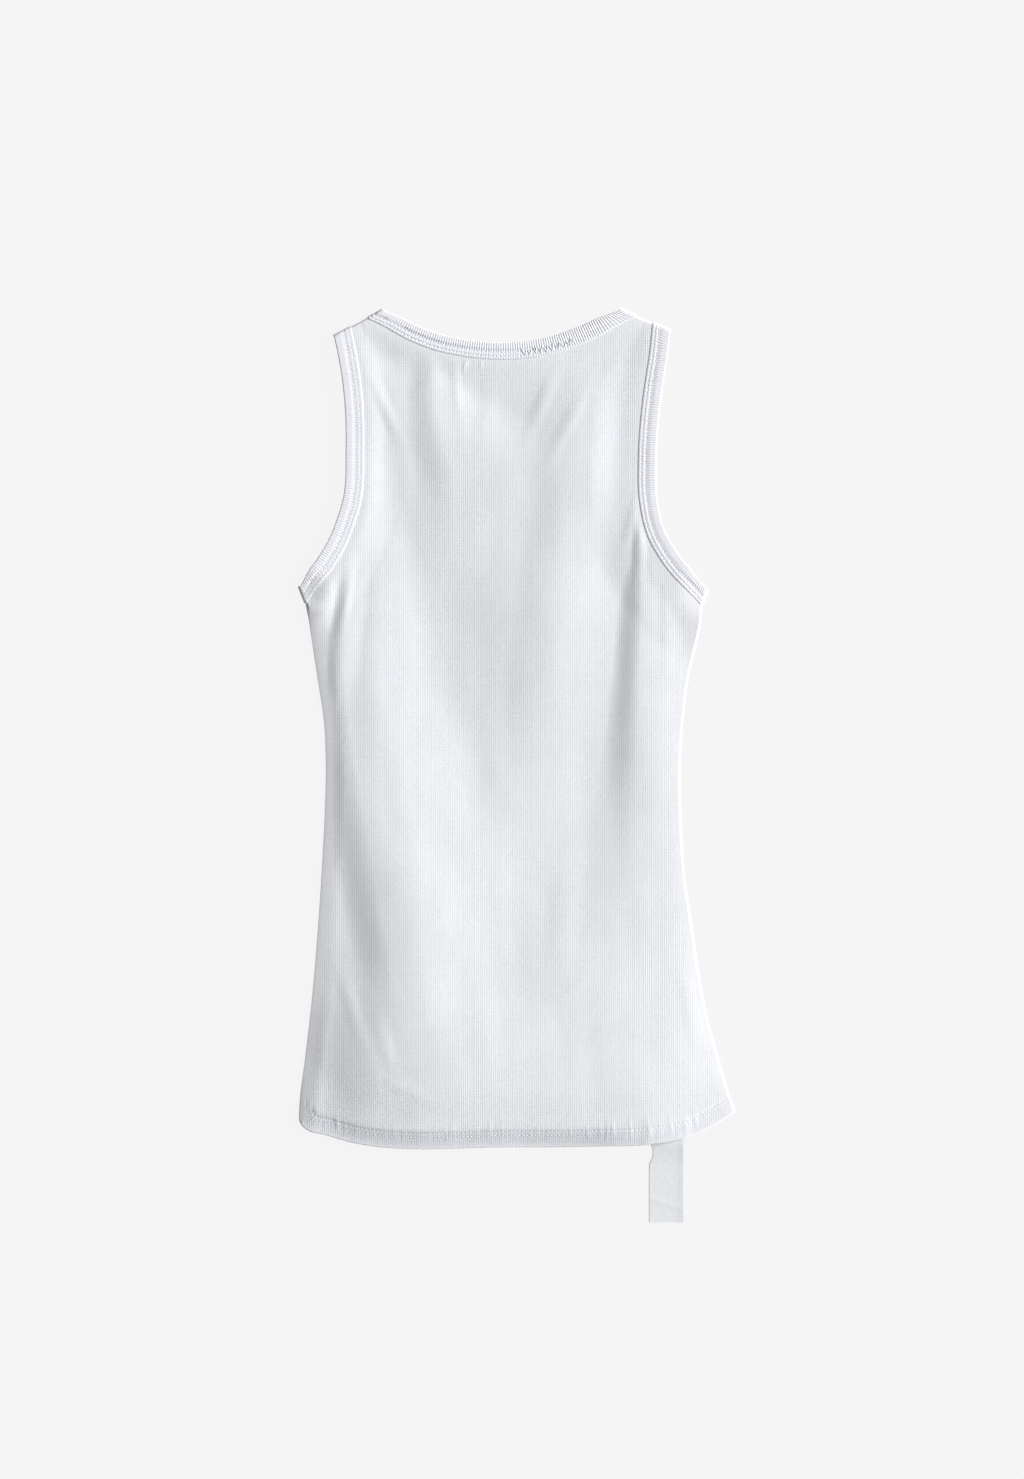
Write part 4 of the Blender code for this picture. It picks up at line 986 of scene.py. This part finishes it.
class Nodes:
    """Builds a material's nodes."""

    def __init__(self, name, roughness, sheen, specular=0.25):
        self.material = bpy.data.materials.new(name)
        self.material.use_nodes = True
        self.tree = self.material.node_tree
        self.shader = self.tree.nodes["Principled BSDF"]
        self.feed(self.shader, {"Roughness": roughness, "Sheen Weight": sheen,
                                "Sheen Roughness": 0.6, "Specular IOR Level": specular})
        self.place = self.add("ShaderNodeTexCoord", {}).outputs["Object"]

    def feed(self, node, inputs):
        """Sets a node's inputs, or links them where the value is another node's output."""
        for name, value in inputs.items():
            if isinstance(value, bpy.types.NodeSocket):
                self.tree.links.new(value, node.inputs[name])
            else:
                node.inputs[name].default_value = value

    def add(self, kind, inputs, **settings):
        node = self.tree.nodes.new(kind)
        for name, value in settings.items():
            setattr(node, name, value)
        self.feed(node, inputs)
        return node

    def texture(self, kind, placing, inputs, **settings):
        mapping = self.add("ShaderNodeMapping", {"Vector": self.place, **placing})
        inputs = {"Vector": mapping.outputs["Vector"], **inputs}
        return self.add(kind, inputs, **settings).outputs["Fac"]

    def noise(self, scale, detail, stretch=(1, 1, 1)):
        return self.texture("ShaderNodeTexNoise", {"Scale": stretch},
                            {"Scale": scale, "Detail": detail})

    def wave(self, pitch, degrees, distortion=0.0):
        """Bands at a pitch in metres, turned by an angle."""
        return self.texture(
            "ShaderNodeTexWave", {"Rotation": (0, 0, math.radians(degrees))},
            {"Scale": 2 * math.pi / (20 * pitch), "Distortion": distortion, "Detail": 1.0},
            wave_type="BANDS", bands_direction="X")

    def maths(self, operation, first, second):
        node = self.add("ShaderNodeMath", {0: first, 1: second}, operation=operation)
        return node.outputs["Value"]

    def mingle(self, *parts):
        """The sum of the parts, each a value and its share."""
        total, *others = (self.maths("MULTIPLY", *part) for part in parts)
        for other in others:
            total = self.maths("ADD", total, other)
        return total

    def colour(self, factor, dark, light):
        ramp = self.add("ShaderNodeValToRGB", {"Fac": factor})
        for i, colour in enumerate((dark, light)):
            ramp.color_ramp.elements[i].position = RAMP[i]
            ramp.color_ramp.elements[i].color = (*colour, 1)
        self.feed(self.shader, {"Base Color": ramp.outputs["Color"]})

    def paint_shade(self, attribute, amount):
        """Painted shade: the base colour, darkened by the amount that the mesh's attribute gives.
        """
        depth = self.add("ShaderNodeAttribute", {}, attribute_name=attribute).outputs["Fac"]
        colour = self.shader.inputs["Base Color"].links[0].from_socket
        factor = self.maths("MULTIPLY", depth, amount)
        mix = self.add("ShaderNodeMix", {}, data_type="RGBA", blend_type="MULTIPLY")
        self.feed(mix, {"Factor": factor, 6: colour, 7: PAINTED_SHADE_TINT})
        self.feed(self.shader, {"Base Color": mix.outputs[2]})

    def bump(self, *layers):
        normal = {}
        for height, depth, strength in layers:
            node = self.add("ShaderNodeBump", {"Strength": strength, "Distance": depth,
                                               "Height": height, **normal})
            normal = {"Normal": node.outputs["Normal"]}
        self.feed(self.shader, normal)


def knit(name, colour, groove, courses=True, ribbed=False):
    made = Nodes(name, 0.92, 0.25)
    fuzz, slow, grain = made.noise(1400, 4.0), made.noise(38, 3.0), made.noise(780, 2.0)
    streaks = made.noise(520, 2.0, (1, 0.12, 1))
    dark, light = (tuple(min(1.0, tone * c) for c in colour) for tone in KNIT_TONES)
    made.colour(made.mingle((slow, 0.2), (grain, 0.6), (streaks, 0.2)), dark, light)
    # painted shade, by the amount in the mesh's groove attribute
    made.paint_shade("groove", groove)
    layers = [(fuzz, 0.00010, 0.45)]
    if courses:
        layers.append((made.wave(0.00115, 90, 1.2), 0.00010, 0.25))
    if ribbed:
        layers.insert(0, (made.wave(0.0016, 0), 0.00025, 0.8))
    made.bump(*layers)
    return made.material


def sewing_thread():
    made = Nodes("thread", 0.7, 0.1)
    made.colour(made.noise(900, 2.0), (0.78, 0.79, 0.82), (0.87, 0.87, 0.89))
    made.bump((made.wave(0.0004, 35), 0.00005, 0.5))
    return made.material


def woven_tape():
    made = Nodes("woven_tape", 0.6, 0.1)
    twill = made.wave(0.00062, 52, 0.4)
    tone = made.mingle((twill, 0.5), (made.noise(700, 3.0, (1, 0.4, 1)), 0.5))
    made.colour(tone, (0.69, 0.71, 0.74), (0.86, 0.875, 0.90))
    made.bump((twill, 0.00010, 0.6), (made.noise(1800, 2.0), 0.00005, 0.3))
    return made.material


# ---- objects ----
def settle(points):
    """Press the stacked bindings flatter where they turn over at the underarms."""
    points = np.array(points, float)
    for corner, reach, share in SETTLED:
        apart = np.linalg.norm(points[:, :2] - corner, axis=1)
        points[:, 2] *= 1 - share * falloff(apart / reach)
    return points


def place(name, data):
    thing = bpy.data.objects.new(name, data)
    bpy.context.scene.collection.objects.link(thing)
    return thing


def add_piece(name, points, faces, material, slot, *nodes, painted_shade=None):
    mesh = bpy.data.meshes.new(name)
    mesh.from_pydata((settle(points) * MM).tolist(), [], faces.tolist())
    # painted shade, kept on the points for the material to darken by
    if painted_shade is not None:
        shade = mesh.attributes.new("groove", "FLOAT", "POINT")
        shade.data.foreach_set("value", np.clip(painted_shade, 0, 1).astype(np.float32))
    form = bmesh.new()
    form.from_mesh(mesh)
    bmesh.ops.delete(form, geom=[v for v in form.verts if not v.link_faces], context="VERTS")
    bmesh.ops.recalc_face_normals(form, faces=form.faces)
    for edge in form.edges:
        edge.smooth = edge.calc_face_angle(0) < CORNER
    form.to_mesh(mesh)
    form.free()
    mesh.shade_smooth()
    mesh.materials.append(material)
    piece = place(name, mesh)
    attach(piece, "root")
    if nodes:
        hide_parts(*nodes)
    return piece


# ---- floor, light and camera ----
FLOOR_HALF = 20.0  # of its side, in metres
FLOOR_TOP = -0.0003
FLOOR_GLOW = 0.8915
SUN_HEIGHT = 19.5  # degrees above the floor
SUN_TURN = 14.0  # from the right towards the top of the picture
SUN_SOFTNESS = 28.0
SUN_STRENGTH = 7.42
SKY_STRENGTH = 0.22
SKY_COLOUR = (0.985, 0.985, 1.0, 1)
CAMERA_HEIGHT = 2.5
FOCAL_LENGTH = 81.2
PICTURE_CENTRE = (-0.0034, 0.0191)


def add_floor():
    mesh = bpy.data.meshes.new("floor")
    corners = [(x * FLOOR_HALF, y * FLOOR_HALF, FLOOR_TOP)
               for x, y in ((-1, -1), (1, -1), (1, 1), (-1, 1))]
    mesh.from_pydata(corners, [], [(0, 1, 2, 3)])
    made = Nodes("floor", 1.0, 0.0, 0.0)
    made.feed(made.shader, {"Emission Color": (1, 1, 1, 1), "Emission Strength": FLOOR_GLOW})
    made.colour(made.noise(3, 2.0), (0.02, 0.02, 0.02), (0.021, 0.021, 0.021))
    mesh.materials.append(made.material)
    place("floor", mesh)


def add_light():
    sun = bpy.data.lights.new("sun", "SUN")
    sun.energy = SUN_STRENGTH
    sun.angle = math.radians(SUN_SOFTNESS)
    height, turn = math.radians(SUN_HEIGHT), math.radians(SUN_TURN)
    towards = Vector((math.cos(height) * math.cos(turn), math.cos(height) * math.sin(turn),
                      math.sin(height)))
    place("sun", sun).rotation_euler = towards.to_track_quat("Z", "Y").to_euler()
    world = bpy.data.worlds.new("studio")
    world.use_nodes = True
    sky = world.node_tree.nodes["Background"]
    sky.inputs["Color"].default_value = SKY_COLOUR
    sky.inputs["Strength"].default_value = SKY_STRENGTH
    bpy.context.scene.world = world


def add_camera():
    lens = bpy.data.cameras.new("camera")
    lens.lens = FOCAL_LENGTH
    lens.sensor_width = 36.0
    camera = place("camera", lens)
    camera.location = (*PICTURE_CENTRE, CAMERA_HEIGHT)
    bpy.context.scene.camera = camera


def main():
    rng = np.random.default_rng(SEED)
    add_floor()
    add_light()
    add_camera()
    # the number after each colour is how strong its painted shade is
    body = knit("rib_knit", (0.782, 0.792, 0.821), 0.8)
    under = knit("rib_knit_front", (0.80, 0.81, 0.84), 0.0, ribbed=True)
    # lighter and bluer than the body: partly the bindings' own tint, partly painted light where
    # light rakes along their ribs
    band = knit("binding_knit", (0.835, 0.84, 0.88), 0.38, courses=False)
    thread, tape = sewing_thread(), woven_tape()
    back = back_panel(body, np.random.default_rng(SEED + 1))
    front = front_panel(under)
    hem = hem_stitches(thread)
    for piece in BINDINGS:
        knitted = binding(piece, band, rng)
        sewn = binding_stitches(piece, thread, rng)
    label = care_label(tape)
    bpy.context.scene.view_settings.view_transform = "Standard"


main()
